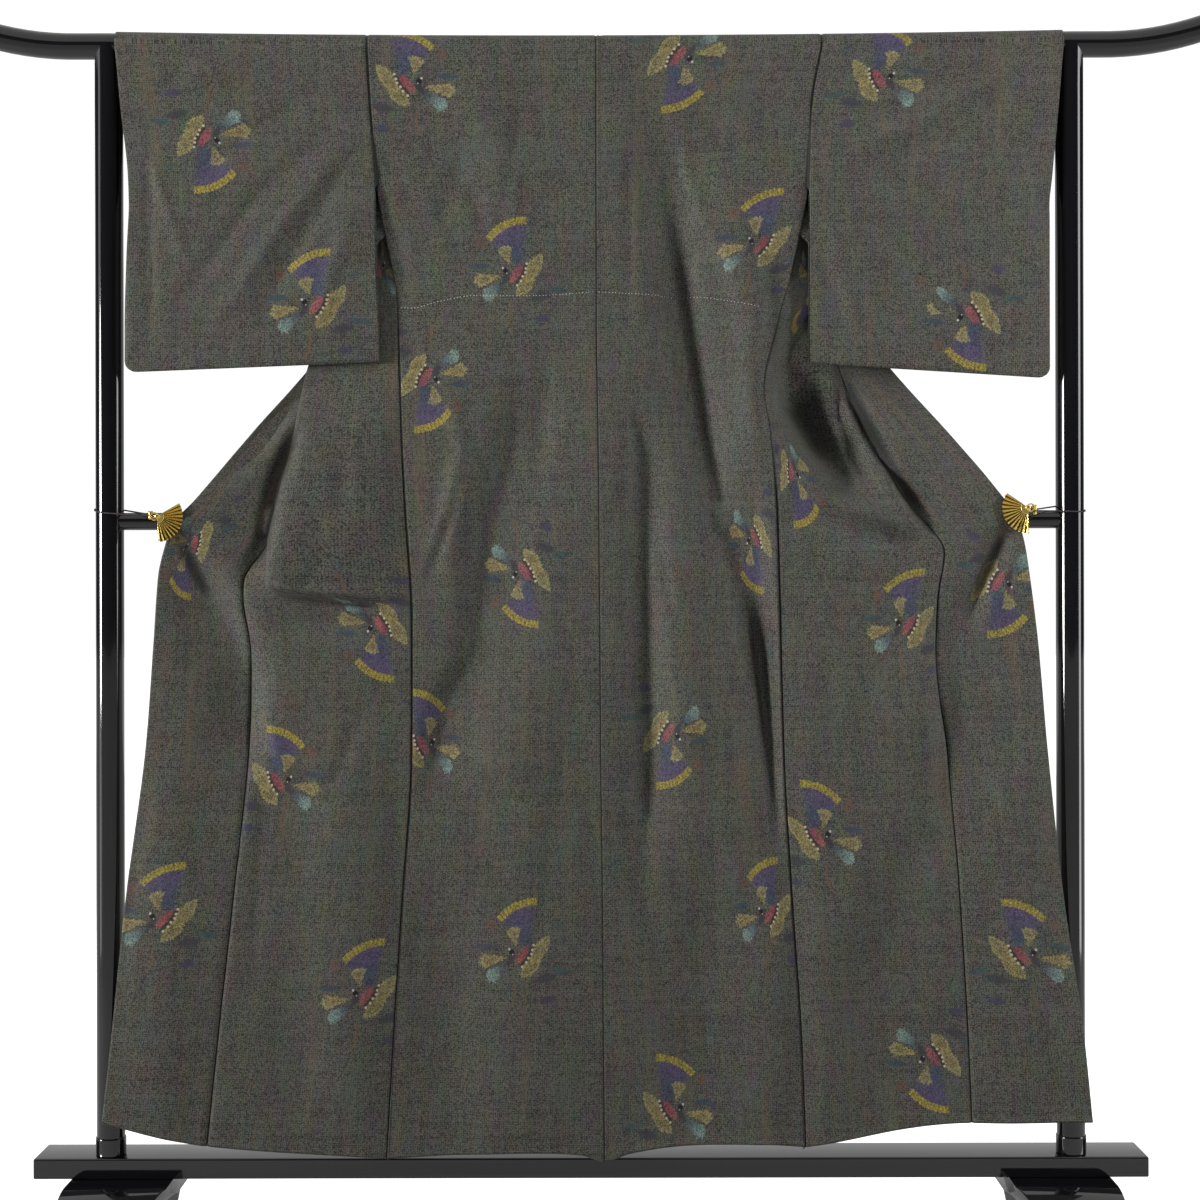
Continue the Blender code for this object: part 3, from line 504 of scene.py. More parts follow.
frontNames = ("seamZ okumiZ edgeZ inner outer okumi edge "
              "seamY innerY outerY okumiY edgeY")
frontShape = {"left": table(frontNames, (
    (131, 149, 181, -448, -497, -545, -694, -36, -38, -38, -36, -36),
    (300, 307, 322, -434, -481, -529, -679, -35, -40, -39, -34, -34),
    (500, 504, 512, -415, -461, -507, -659, -34, -39, -38, -34, -32),
    (700, 703, 710, -398, -442, -488, -632, -33, -37, -36, -33, -31),
    (850, 853, 862, -396, -440, -486, -621, -32, -35, -34, -32, -30),
    (912, 925, 958, -400, -448, -494, -615, -31, -35, -34, -31, -29),
    (936, 948, 990, -456, -452, -493, -608, -31, -56, -43, -31, -28),
    (1003, 1006, 1034, -457, -432, -460, -592, -31, -58, -43, -31, -28),
    (1065, 1066, 1067, -444, -405, -434, -562, -30, -54, -39, -29, -27),
    (1165, 1165, 1165, -420, -368, -402, -481, -26, -39, -29, -21, -17),
    (1250, 1250, 1250, -405, -340, -363, -407, -20, -15, -8, -3, -4),
    (1307, 1307, 1307, -382, -322, -338, -365, -18, -10, -1, 6, 6),
    (1364, 1364, 1364, -352, -292, -306, -324, -16, -6, 6, 14, 14),
    (1442, 1442, 1442, -312, -276, -268, -265, -6, 5, 15, 21, 21),
    (1520, 1520, 1520, -291, -242, -209, -208, 6, 17, 24, 26, 26),
    (1620, 1620, 1620, -218, -174, -135, -134, 14, 22, 25, 26, 26),
    (1713, 1713, 1713, -156, -106, -57, -56, 22, 22, 22, 22, 22))),
    "right": table(frontNames, (
    (146, 180, 180, 451, 495, 540, 712, -36, -38, -38, -36, -36),
    (300, 312, 315, 445, 490, 535, 699, -35, -39, -38, -34, -34),
    (500, 505, 508, 434, 478, 524, 671, -34, -38, -37, -34, -32),
    (700, 703, 708, 421, 466, 510, 650, -33, -36, -36, -33, -31),
    (850, 852, 856, 409, 452, 494, 638, -32, -34, -34, -32, -30),
    (912, 920, 932, 409, 452, 495, 629, -31, -35, -35, -31, -29),
    (985, 990, 1010, 413, 458, 504, 617, -31, -34, -35, -31, -28),
    (1043, 1043, 1048, 392, 420, 469, 602, -30, -35, -41, -30, -28),
    (1086, 1086, 1088, 366, 398, 438, 573, -29, -28, -34, -38, -26),
    (1165, 1165, 1165, 304, 362, 404, 510, -26, -22, -24, -38, -17),
    (1248, 1248, 1248, 275, 350, 360, 438, -21, -18, -12, -16, -4),
    (1307, 1307, 1307, 306, 334, 342, 389, -18, -13, -7, 4, 5),
    (1364, 1364, 1364, 330, 304, 315, 343, -16, -6, 6, 14, 14),
    (1442, 1442, 1442, 316, 296, 287, 282, -6, 5, 15, 21, 21),
    (1520, 1520, 1520, 299, 250, 213, 214, 6, 17, 24, 26, 26),
    (1620, 1620, 1620, 228, 182, 142, 143, 14, 22, 25, 26, 26),
    (1713, 1713, 1713, 166, 116, 66, 67, 22, 22, 22, 22, 22)))}
places = {"seam": 0.0, "inner": 0.62, "outer": 0.81, "okumi": 1.0, "edge": 1.58}
depthPlaces = (0.0, 0.50, 0.73, 1.0, 1.58)

sleeveNames = "height inner outer frontIn frontOut rearIn rearOut"
sleeveShape = {"left": table(sleeveNames, (
    (1250, -298, -661, -29.0, -29.0, -24.8, -25.4),
    (1306, -299, -661, -31.5, -29.5, -22.5, -25.9),
    (1415, -303, -658, -31.0, -28.5, -20.0, -24.9),
    (1480, -304, -655, -29.0, -27.0, -8.0, -20.0),
    (1520, -304, -656, -27.5, -26.5, 6.0, 2.0),
    (1620, -312, -667, -24.0, -24.0, 14.0, 24.0),
    (1713, -317, -676, -22.0, -23.5, 22.0, 23.5))),
    "right": table(sleeveNames, (
    (1238, 313, 655, -29.0, -29.0, -24.8, -25.4),
    (1306, 313, 655, -31.5, -29.5, -22.5, -25.9),
    (1415, 313, 655, -31.0, -28.5, -20.0, -24.9),
    (1480, 313, 655, -29.0, -27.0, -8.0, -20.0),
    (1520, 313, 659, -27.5, -26.5, 6.0, 2.0),
    (1620, 317, 669, -24.0, -24.0, 14.0, 24.0),
    (1713, 332, 677, -22.0, -23.5, 22.0, 23.5)))}

garment = {
    "wall": 0.9, "gap": 0.3, "step": 6.0, "frontWidth": 258.0, "backWidth": 315.0,
    "shoulderDepth": 22.0, "shoulderRise": 20.5, "neckDrop": 12.0, "waistTop": 1364.0,
    "okumiTop": 1403.0, "armholeEnd": 1510.0, "collarEnd": 1040.0, "collarWidth": 42.0,
    "collarWall": 2.4, "sleeveWidth": 355.0, "sleeveCorner": 17.0, "cuffEnd": 1483.0,
    "sleeveFoot": {"left": (1263.0, 1249.0), "right": (1260.0, 1238.0)},
    "ripple": 0.8, "tongue": 4.0, "tongueDepth": 1.3, "overRail": 0.9, "overRailRows": 16,
    "creaseReach": 2.6, "taperShare": 0.35, "taperMost": 140.0, "seamLine": 1.7,
    "hemRoll": 7.0, "allowance": 5.5, "collarRows": 110, "neckRows": 18, "seamClose": -27.4,
    "seamCalm": 30.0, "railCalm": 40.0, "sideCalm": 0.14, "frontCalmTop": 1600.0, "frontCalm": 200.0,
    "rippleWide": (46, 190), "rippleFine": (19, 60), "railClear": 2.4, "rearTuck": 15.0,
    "tuckLow": 1432.0, "tuckHigh": 1516.0, "bagFold": 1.1, "collarBehind": 2.1, "collarTurn": 0.7,
    "collarLean": (0.74, 0.05, -0.67), "crown": 20.0}

# depth and width of the valley along each kind of seam
valleys = {"middle": (1.5, 2.6), "side": (2.2, 3.6), "okumi": (4.0, 6.0), "armhole": (2.6, 4.0)}

# folds and creases laid one by one: half width left and right of the line, depth (in is +), its points
backCreases = (
    # the long fold to the right of the middle, and the ridge beside it
    (28, 64, 23, (101, 1640), (110, 1507), (118, 1400), (132, 1313), (146, 1226), (165, 1119),
     (195, 1009), (227, 902), (253, 815), (274, 707), (290, 598), (300, 520)),
    (24, 24, 16, (112, 1500), (120, 1400), (132, 1313), (146, 1226), (168, 1110), (190, 1020)),
    (34, 16, -15, (206, 1500), (228, 1400), (243, 1300), (248, 1180), (254, 1080)),
    (9, 9, -3.5, (100, 1690), (128, 1600), (156, 1500), (196, 1400), (232, 1290)),
    (7, 7, 3.0, (74, 1640), (78, 1560), (84, 1470), (88, 1380)),
    (7, 7, -2.4, (124, 1600), (150, 1500), (176, 1420)),
    (10, 10, 3.2, (62, 1660), (60, 1540), (58, 1430), (52, 1300)),
    (7, 7, -2.8, (112, 1380), (112, 1290), (120, 1210)),
    # the narrow one beside the middle seam, opening out below
    (15, 44, 22, (68, 1230), (70, 1080), (71, 920), (71, 760), (76, 640), (88, 540)),
    (26, 30, 18, (226, 940), (250, 850), (267, 740), (286, 630), (294, 550)),
    (20, 20, 7.0, (53, 760), (66, 600), (90, 450), (140, 330)),
    (26, 26, -5.0, (96, 1080), (112, 940), (128, 800), (150, 640)),
    (12, 12, -3.0, (210, 800), (228, 660), (250, 540), (262, 440)),
    (7, 7, 5.0, (262, 700), (276, 600), (284, 500), (276, 420)),
    (7, 7, 2.4, (92, 1060), (112, 930), (134, 820)),
    # left of the middle
    (22, 66, 17, (-96, 1270), (-102, 1180), (-116, 1110), (-142, 1042), (-150, 967), (-164, 837),
     (-204, 771), (-236, 621)),
    (5, 5, 3.4, (-166, 1150), (-193, 1050), (-223, 972), (-251, 915)),
    (9, 9, -3.6, (-180, 1150), (-206, 1050), (-238, 960)),
    (14, 14, -5.0, (-214, 1260), (-176, 1130), (-196, 1010), (-204, 900)),
    (30, 30, -6.0, (-158, 1700), (-132, 1550), (-104, 1420)),
    (8, 8, 2.6, (-96, 1700), (-100, 1600), (-118, 1500), (-140, 1400)),
    (7, 7, -2.8, (-128, 1721), (-150, 1690), (-172, 1650)),
    (10, 10, 3.0, (-190, 1560), (-160, 1480), (-132, 1400)),
    (9, 9, 3.2, (-230, 1420), (-196, 1500), (-176, 1580)),
    (10, 10, -3.0, (-252, 1540), (-214, 1450), (-190, 1380)),
    (12, 12, 3.0, (-60, 1290), (-66, 1180), (-72, 1060)),
    (14, 14, 2.6, (-282, 1470), (-268, 1360), (-262, 1270)),
    # the skirt's broad waves
    (80, 80, -9.0, (-110, 900), (-95, 700), (-85, 450), (-80, 110)),
    (56, 56, 8.0, (-215, 560), (-205, 400), (-190, 110)),
    (54, 54, 9.0, (170, 560), (160, 350), (150, 110)),
    (40, 40, -7.0, (262, 520), (262, 330), (258, 110)),
    (14, 14, 2.2, (-30, 760), (-50, 600), (-62, 420)),
    (10, 10, 2.0, (150, 480), (160, 360), (168, 240)),
    (7, 7, 1.8, (177, 837), (178, 600), (177, 376)),
    # pulls towards the shoulders and armholes
    (9, 9, -3.4, (140, 1700), (205, 1620), (262, 1545)),
    (8, 8, 2.8, (120, 1690), (180, 1600), (232, 1500)),
    (7, 7, 2.4, (170, 1700), (226, 1640), (290, 1575)),
    (8, 8, 2.2, (-200, 1690), (-240, 1630), (-290, 1570)),
    (4, 4, 1.0, (-254, 1340), (-210, 1350), (-161, 1357), (-85, 1356), (7, 1361), (84, 1358),
     (155, 1357), (193, 1349), (243, 1339)))
sideCreases = (
    # left front: the pouch, its creases, the okumi's deep fold
    (9, 9, 3.5, (-408, 1226), (-470, 1150), (-532, 1080)),
    (110, 34, -7, (-268, 1240), (-268, 1100), (-272, 960)),
    (12, 15, 15, (-404, 1200), (-447, 1093), (-465, 1005), (-497, 946)),
    (50, 40, 9, (-430, 1190), (-478, 1093), (-498, 1005), (-520, 946)),
    (10, 8, 2.6, (-352, 1190), (-346, 1110), (-356, 1020)),
    (8, 8, -2.4, (-330, 1150), (-326, 1060), (-334, 990)),
    (20, 14, 7, (-392, 1236), (-430, 1196), (-470, 1150), (-500, 1110)),
    (7, 7, 3.0, (-356, 1010), (-396, 950), (-420, 915)),
    (8, 8, -4.5, (-268, 930), (-340, 931), (-410, 936), (-470, 950)),
    (4, 4, 5.0, (-256, 917), (-330, 916), (-400, 922), (-450, 930)),
    (18, 18, 7.0, (-280, 886), (-380, 890), (-470, 884)),
    (60, 30, 22, (-590, 1020), (-560, 957), (-524, 886), (-494, 815), (-491, 740), (-496, 640)),
    (60, 60, 6.0, (-430, 780), (-428, 500), (-430, 110)),
    (50, 50, -6.0, (-345, 760), (-340, 500), (-338, 110)),
    (46, 46, -7.0, (-590, 760), (-604, 480), (-615, 110)),
    (9, 9, -3.0, (-470, 800), (-440, 700), (-400, 630)),
    (9, 9, 3.0, (-320, 780), (-350, 690), (-392, 640)),
    (8, 8, 2.4, (-460, 660), (-470, 540), (-480, 380)),
    (12, 12, 3.0, (-640, 640), (-656, 480), (-668, 330)),
    # right front: the dark hollow, with shade painted inside it as well, the bright ridge, the hollow behind
    # it
    (20, 58, 58, (288, 1266), (298, 1192), (324, 1146), (360, 1106), (400, 1068)),
    (8, 34, 18, (360, 1262), (360, 1195), (382, 1128), (408, 1066)),
    (8, 20, 24, (349, 1272), (390, 1180), (433, 1098), (470, 1040), (500, 996)),
    (14, 66, 12, (384, 1262), (428, 1174), (474, 1092), (514, 1030)),
    (12, 12, -8.0, (272, 1118), (340, 1066), (430, 1036), (500, 1030)),
    (10, 10, 7.0, (290, 1060), (350, 1030), (430, 1006), (500, 1000)),
    (7, 7, 2.6, (300, 945), (380, 944), (470, 946)),
    (15, 16, 17, (604, 1040), (590, 1012), (567, 966), (547, 916), (534, 860)),
    (18, 30, 8, (596, 930), (586, 860), (580, 780)),
    (22, 60, 15, (520, 960), (512, 880), (506, 760), (508, 640), (512, 540)),
    (60, 34, -10, (500, 880), (455, 700), (400, 540), (340, 380)),
    (9, 9, 4.0, (612, 800), (600, 700), (596, 620)),
    (50, 50, -6.0, (318, 900), (330, 600), (330, 110)),
    (60, 60, 8.0, (440, 780), (430, 500), (425, 110)),
    (46, 46, -7.0, (610, 760), (604, 480), (600, 110)),
    (8, 8, 2.4, (330, 900), (345, 760), (350, 600)),
    (10, 10, 3.0, (420, 880), (392, 760), (380, 640)),
    (12, 12, 2.6, (640, 620), (660, 460), (676, 300)))
# deep folds whose inside sees no light, darkened in the cloth's colour as painted shade: half widths and
# share of shade
paintedFoldShade = (
    (5, 7, 1.0, (-403, 1200), (-444, 1093), (-462, 1005), (-494, 946)),
    (3, 3, 0.7, (-256, 917), (-330, 916), (-400, 922), (-440, 929)),
    (6, 12, 1.1, (352, 1278), (392, 1180), (436, 1096), (472, 1040), (502, 994)),
    (14, 26, 0.9, (292, 1236), (302, 1188), (328, 1146), (362, 1106)),
    (8, 11, 0.95, (-590, 1024), (-575, 985), (-555, 944), (-540, 918)),
    (11, 8, 0.95, (602, 1036), (580, 992), (556, 944), (538, 908)))
sleeveCreases = (
    (7, 7, 3.0, (-620, 1640), (-626, 1520), (-624, 1269)),
    (12, 12, 5.0, (-330, 1560), (-400, 1450), (-480, 1310)),
    (12, 12, -5.0, (-336, 1590), (-440, 1450), (-540, 1300)),
    (11, 11, 4.0, (-345, 1610), (-470, 1500), (-590, 1330)),
    (11, 11, -4.0, (-326, 1500), (-362, 1400), (-390, 1300)),
    (10, 10, 3.4, (-360, 1660), (-480, 1590), (-580, 1500)),
    (8, 8, -3.0, (-640, 1600), (-600, 1480), (-560, 1380)),
    (8, 8, 3.0, (-560, 1700), (-590, 1660), (-622, 1640)),
    (14, 14, 6.0, (667, 1690), (600, 1640), (525, 1588), (420, 1545), (350, 1530)),
    (10, 10, -4.5, (640, 1720), (560, 1650), (450, 1590), (350, 1556)),
    (10, 10, 4.0, (560, 1716), (500, 1660), (430, 1610), (352, 1580)),
    (11, 11, 4.5, (652, 1600), (603, 1517), (568, 1440)),
    (13, 13, 6.0, (352, 1505), (420, 1440), (500, 1340), (560, 1270)),
    (11, 11, -5.5, (356, 1530), (450, 1460), (540, 1380), (610, 1300)),
    (11, 11, 4.5, (360, 1545), (480, 1500), (590, 1410), (640, 1330)),
    (11, 11, -4.0, (336, 1470), (360, 1390), (390, 1290)),
    (9, 9, 4.0, (326, 1433), (345, 1370), (369, 1305)))


def eased(keys, values, at):
    # smooth value between the rows on either side, never past them
    if at <= keys[0]:
        return values[0]
    if at >= keys[-1]:
        return values[-1]
    row = bisect_right(keys, at) - 1
    last = len(keys) - 1

    def slope(k):
        return (values[k + 1] - values[k]) / (keys[k + 1] - keys[k])

    def tangent(k):
        if k in (0, last):
            return slope(min(k, last - 1))
        before, after = slope(k - 1), slope(k)
        return 0.0 if before * after <= 0 else 2 * before * after / (before + after)

    span = keys[row + 1] - keys[row]
    t = (at - keys[row]) / span
    rise = (3 - 2 * t) * t * t
    return (values[row] * (1 - rise) + values[row + 1] * rise
            + span * (tangent(row) * t * (1 - t) ** 2 - tangent(row + 1) * t * t * (1 - t)))


def fade(t):
    t = min(max(t, 0.0), 1.0)
    return t * t * (3 - 2 * t)


def outside(x, z, points, margin):
    xs, zs = zip(*points)
    return (x < min(xs) - margin or x > max(xs) + margin
            or z < min(zs) - margin or z > max(zs) + margin)


def creaseDepth(creases, x, z):
    # what all the creases of a table add up to at one place
    reach, total = garment["creaseReach"], 0.0
    for left, right, depth, *points in creases:
        if outside(x, z, points, reach * max(left, right)):
            continue
        whole = sum(math.dist(a, b) for a, b in zip(points, points[1:]))
        near, along, passed, width = 1e9, 0.0, 0.0, left
        for (ax, az), (bx, bz) in zip(points, points[1:]):
            span = math.dist((ax, az), (bx, bz))
            t = ((x - ax) * (bx - ax) + (z - az) * (bz - az)) / span ** 2
            t = min(max(t, 0.0), 1.0)
            away = math.hypot(x - ax - t * (bx - ax), z - az - t * (bz - az))
            if away < near:
                near, along = away, passed + t * span
                beside = (bx - ax) * (z - az) - (bz - az) * (x - ax)
                width = right if beside > 0 else left
            passed += span
        if near < reach * width:
            taper = min(garment["taperShare"] * whole, garment["taperMost"])
            end = fade(along / taper + 0.1) * fade((whole - along) / taper + 0.1)
            total += depth * end * math.exp(-(near / width) ** 2)
    return total


def foldShade(point):
    # painted shade for the deepest folds, carried by the 'seam' layer
    return min(creaseDepth(paintedFoldShade, point.x, point.z), 1.0)


def beforeRail(y, z):
    # no fold goes in as far as the middle rail
    away = max(abs(z - stand["midHeight"]) - stand["midRadius"] - 2.0, 0.0)
    return min(y, -stand["midRadius"] - garment["railClear"] + 0.9 * away)


def rippleDepth(x, z, seed):
    # faint unevenness that hangs mostly down the cloth
    broad, fine = (noise.noise(Vector((x / wide, z / high, place))) for (wide, high), place in (
        (garment["rippleWide"], seed), (garment["rippleFine"], seed + 7.3)))
    return garment["ripple"] * (1.5 * broad + 0.5 * fine)


def railAxis(x):
    # height of the top rail's middle: a slight sag, and the ends swept up
    reach = abs(x)
    flare = max(reach - stand["flareStart"], 0.0)
    sag = stand["railSag"] * max(1 - (reach / stand["postX"]) ** 2, 0.0)
    return stand["railHeight"] - sag + stand["flareRate"] * flare ** 2


def sideSign(side):
    return -1 if side == "left" else 1


def backAt(column, z):
    return eased(backShape["height"], backShape[column], z)


def backPoint(side, across, z):
    middle, seam = backAt("middle", z), backAt(side, z)
    x = middle + (seam - middle) * across
    sideY, middleY = backAt("sideY", z), backAt("middleY", z)
    rest = fade((1 - across) * abs(seam - middle) / garment["seamCalm"])
    rest *= fade((shoulderLine - z) / garment["railCalm"])
    y = middleY + (sideY - middleY) * across ** 2
    y += rest * (creaseDepth(backCreases, x, z) + rippleDepth(x, z, 1.7))
    return Vector((x, beforeRail(y, z), z))


def frontPoint(side, place, v):
    shape = frontShape[side]
    keys = shape["seamZ"]
    xs = [backAt(side, v)]
    xs += [eased(keys, shape[name], v) for name in list(places)[1:]]
    ys = [eased(keys, shape[name + "Y"], v) for name in places]
    z = eased((0.0, 1.0, places["edge"]),
              (v, eased(keys, shape["okumiZ"], v), eased(keys, shape["edgeZ"], v)), place)
    x, y = eased(tuple(places.values()), xs, place), eased(depthPlaces, ys, place)
    rest = fade(place / garment["sideCalm"]) * fade((garment["frontCalmTop"] - z) / garment["frontCalm"])
    y += rest * (creaseDepth(sideCreases, x, z) + rippleDepth(x, z, 4.1))
    return Vector((x, beforeRail(y, z), z))


def shoulderPoint(x, angle, halfDepth):
    return Vector((x, -halfDepth * math.cos(angle),
                   railAxis(x) + garment["shoulderRise"] * math.sin(angle)))


def valley(kind, away):
    # how far the cloth turns in beside a seam
    depth, width = valleys[kind]
    return depth * max(1 - away / width, 0.0) ** 2


def seamShade(away):
    # painted shade along a seam: full on the seam line, gone seamLine mm away
    return max(1 - away / garment["seamLine"], 0.0)


def closeAtEnds(length, step, edges=(0.7, 1.7, 3.2, 5.5)):
    # distances from 0 to length, closer together beside both ends
    inner = max(int((length - 2 * edges[-1]) / step), 1)
    middle = [edges[-1] + (length - 2 * edges[-1]) * k / inner for k in range(inner + 1)]
    return [0.0, *edges[:-1], *middle, *(length - e for e in edges[-2::-1]), length]


def fineHeights(heights, top):
    # the table's own heights with fine rows between them, finer at the hem
    rows = [heights[0] + d for d in (0.0, 1.2, 2.6, 4.2)]
    for low, high in zip(heights, heights[1:]):
        count = max(math.ceil((high - low) / garment["step"]), 4)
        rows += [low + (high - low) * k / count for k in range(1, count + 1)]
    return [r for r in rows if r < top]


class Spot:
    # one point of a sheet: where it hangs, where it lies in the flat cloth, how it turns in and how much
    # shade is painted on it

    def __init__(self, point, flat, layer, turnIn=0.0, shade=0.0):
        self.point, self.flat, self.layer = point, flat, layer
        self.turnIn, self.shade = turnIn, shade


def hangSheet(name, grid, material, flip, wall, ringed=False):
    # a grid whose points are moved to where the cloth hangs
    rows, columns = len(grid), len(grid[0])
    bm = bmesh.new()
    bmesh.ops.create_grid(bm, x_segments=columns - 1, y_segments=rows - 1, size=1.0)
    clothMap = bm.loops.layers.uv.new("cloth")
    motifMap = bm.loops.layers.uv.new("motif")
    # the 'seam' layer is painted shade: how far each point's colour is darkened at seams, in deep folds and
    # on turned-in strips
    shade = bm.verts.layers.float.new("seam")
    spots = {}
    for vert in bm.verts:
        i = round((vert.co.x + 1) / 2 * (columns - 1))
        j = round((vert.co.y + 1) / 2 * (rows - 1))
        spots[vert] = grid[j][i]
    missing = [vert for vert in bm.verts if spots[vert] is None]
    bmesh.ops.delete(bm, geom=missing, context="VERTS")
    for vert in bm.verts:
        vert.co = spots[vert].point * mm
        vert[shade] = spots[vert].shade
    if flip:
        bmesh.ops.reverse_faces(bm, faces=bm.faces)
    bm.normal_update()
    moves = [(vert, vert.normal * spots[vert].turnIn * mm) for vert in bm.verts if spots[vert].turnIn]
    for vert, move in moves:
        vert.co -= move
    butterflies = placeButterflies(name, spots.values())
    shift = sum(map(ord, name)) % 17 * 0.731
    for face in bm.faces:
        corners = [spots[loop.vert] for loop in face.loops]
        local = motifCorners(corners, butterflies)
        for loop, spot, corner in zip(face.loops, corners, local):
            loop[clothMap].uv = (spot.flat[0] + shift, spot.flat[1])
            loop[motifMap].uv = corner
    if ringed:
        bmesh.ops.remove_doubles(bm, verts=bm.verts, dist=1e-6)
    piece = keepPiece(name, bm, material, sharp=75, unit=1.0)
    thicken(piece, wall).use_even_offset = False
    return piece


# the butterflies: layer, place on the hung cloth, way they face, width share
# A and B fly crest up, C and D crest down; B and D are the mirrored ones
butterflyPlaces = (
    ("sleeveLeft", -541, 1582, "C", 1.0), ("sleeveLeft", -393, 1344, "A", 1.0),
    ("backLeft", -252, 1662, "B", 1.0), ("backLeft", -107, 1388, "A", 1.0),
    ("backRight", 130, 1698, "C", 1.0), ("backRight", 240, 1428, "A", 1.0),
    ("sleeveRight", 418, 1668, "B", 1.0), ("sleeveRight", 538, 1325, "D", 1.0),
    ("backLeft", -227, 1241, "C", 1.0), ("backLeft", -96, 960, "D", 1.0),
    ("frontLeft", -300, 886, "D", 1.0), ("backLeft", -232, 719, "B", 0.9),
    ("frontLeft", -442, 665, "B", 1.0), ("okumiLeft", -608, 475, "A", 1.0),
    ("frontLeft", -322, 365, "A", 1.0), ("backLeft", -103, 423, "A", 1.0),
    ("backRight", 115, 733, "C", 1.0), ("backRight", 249, 479, "A", 0.85),
    ("backRight", 115, 200, "B", 1.0), ("frontRight", 288, 1104, "C", 0.8),
    ("backRight", 234, 1007, "D", 0.66), ("frontRight", 449, 886, "A", 1.0),
    ("okumiRight", 584, 949, "C", 1.0), ("frontRight", 325, 591, "B", 1.0),
    ("frontRight", 483, 271, "D", 1.0), ("okumiRight", 616, 423, "B", 1.0),
    ("okumiLeft", -567, 1001, "D", 0.6),
    ("sleeveLeftRear", -520, 1420, "A", 1.0), ("sleeveLeftRear", -400, 1600, "D", 1.0),
    ("sleeveRightRear", 430, 1420, "C", 1.0), ("sleeveRightRear", 560, 1610, "B", 1.0),
    ("frontLeft", -215, 1580, "C", 1.0), ("frontRight", 200, 1600, "A", 1.0),
    ("frontLeft", -300, 1400, "B", 1.0), ("frontRight", 320, 1380, "D", 1.0))
facing = {"A": (-1, -1), "B": (1, -1), "C": (1, 1), "D": (-1, 1)}
motifZone = {"left": -0.82, "right": 0.74, "low": -1.02, "high": 1.20}     # in the motif's units
motifScale = 9.4                               # the motif's units to a metre
bareCloth = (9.0, 9.0)                         # where nothing is painted
rearMap = 3.0                                  # how far along the flat map the rear layers lie, in m


def placeButterflies(name, spots):
    # the flat place of each butterfly that falls on this piece
    found, layers = [], {}
    for spot in spots:
        if spot is not None:
            layers.setdefault(spot.layer, []).append(spot)
    for layer, x, z, way, share in butterflyPlaces:
        if layer in layers:
            nearest = min(layers[layer], key=lambda s: (s.point.x - x) ** 2 + (s.point.z - z) ** 2)
            found.append((layer, nearest.flat, facing[way], share))
    return found


def motifCorners(corners, butterflies):
    # second map: the butterfly's own coordinates where one lies, far away elsewhere
    middle = [sum(c.flat[k] for c in corners) / len(corners) for k in (0, 1)]
    zone = motifZone
    for layer, centre, (turnX, turnY), share in butterflies:
        if corners[0].layer != layer:
            continue
        scaleX, scaleY = motifScale * turnX / share, motifScale * turnY
        x, y = (middle[0] - centre[0]) * scaleX, (middle[1] - centre[1]) * scaleY
        if zone["left"] < x < zone["right"] and zone["low"] < y < zone["high"]:
            return [((c.flat[0] - centre[0]) * scaleX, (c.flat[1] - centre[1]) * scaleY) for c in corners]
    return [bareCloth] * len(corners)


def makeBody(side, silk):
    # back, shoulder and front in one length of cloth
    sign, top, last = sideSign(side), shoulderLine, garment["overRailRows"]
    name, label = "body_" + side, side.capitalize()
    middle, seam = backShape["middle"][-1], backShape[side][-1]
    width = garment["frontWidth"]
    frontPlaces = [1 - d / width for d in closeAtEnds(width, garment["step"])]
    frontX = [frontPoint(side, place, top).x for place in frontPlaces]
    neckSpan = abs(frontX[0] - middle)
    neckX = [middle + sign * d for d in closeAtEnds(neckSpan, garment["step"])[:-4]]
    xs = neckX + frontX
    shares = [(x - middle) / (seam - middle) for x in xs]
    heights = fineHeights(frontShape[side]["seamZ"], top)
    grid = []
    tucked = side == "left"                    # the middle seam's allowance lies behind the right half
    for v in heights:
        level = (v - heights[0]) / (top - heights[0])
        line = []
        for share in shares:
            footX = backPoint(side, share, heights[0]).x
            foot = eased(backHem["x"], backHem["height"], footX)
            point = backPoint(side, share, foot + (top - foot) * level)
            line.append(backSpot(side, label, share, point, point.z - foot))
        grid.append([tongue(line[0], 1.0)] * tucked + line)
    for row in range(1, last):
        angle = math.pi * row / last
        line = []
        for x, share in zip(xs, shares):
            point = shoulderPoint(x, angle, garment["shoulderDepth"])
            point.x -= sign * garment["gap"] * (share == shares[-1])
            spot = backSpot(side, label, share, point, 400.0)
            spot.turnIn = min(spot.turnIn, garment["overRail"])
            if angle > math.pi / 2:
                spot.flat = (spot.flat[0] + rearMap, 2 * (top + garment["crown"]) * mm - spot.flat[1])
                spot.layer = "shoulder" + label
            line.append(spot)
        grid.append([tongue(line[0], 1.0)] * tucked + line)
    behind = len(neckX) + tucked
    drop = Vector((0, 0, garment["neckDrop"]))
    neckline = [Spot(spot.point - drop, spot.flat, spot.layer) for spot in grid[-1][:behind]]
    for number, v in enumerate(reversed(heights)):
        line = [frontSpot(side, label, place, v, heights[0]) for place in frontPlaces]
        grid.append((neckline if number == 0 else [None] * behind) + line)
    for line in grid:
        edge = line[-1]                        # the side seam's allowance lies behind the back
        sewn = edge.layer == "front" + label and edge.point.z < garment["waistTop"]
        line.append(tongue(edge, -sign if sewn else 0.0))
    piece = hangSheet(name, grid, silk, side == "left", garment["wall"])
    standsFor(piece, "silk", name)
    return piece


def tongue(edge, way):
    # the turned-in strip beyond a sewn edge, painted fully shaded
    place = edge.point + Vector((way * garment["tongue"], 0, 0))
    flat = (edge.flat[0] + way * garment["tongue"] * mm, edge.flat[1])
    return Spot(place, flat, edge.layer, edge.turnIn + garment["tongueDepth"], 1.0)


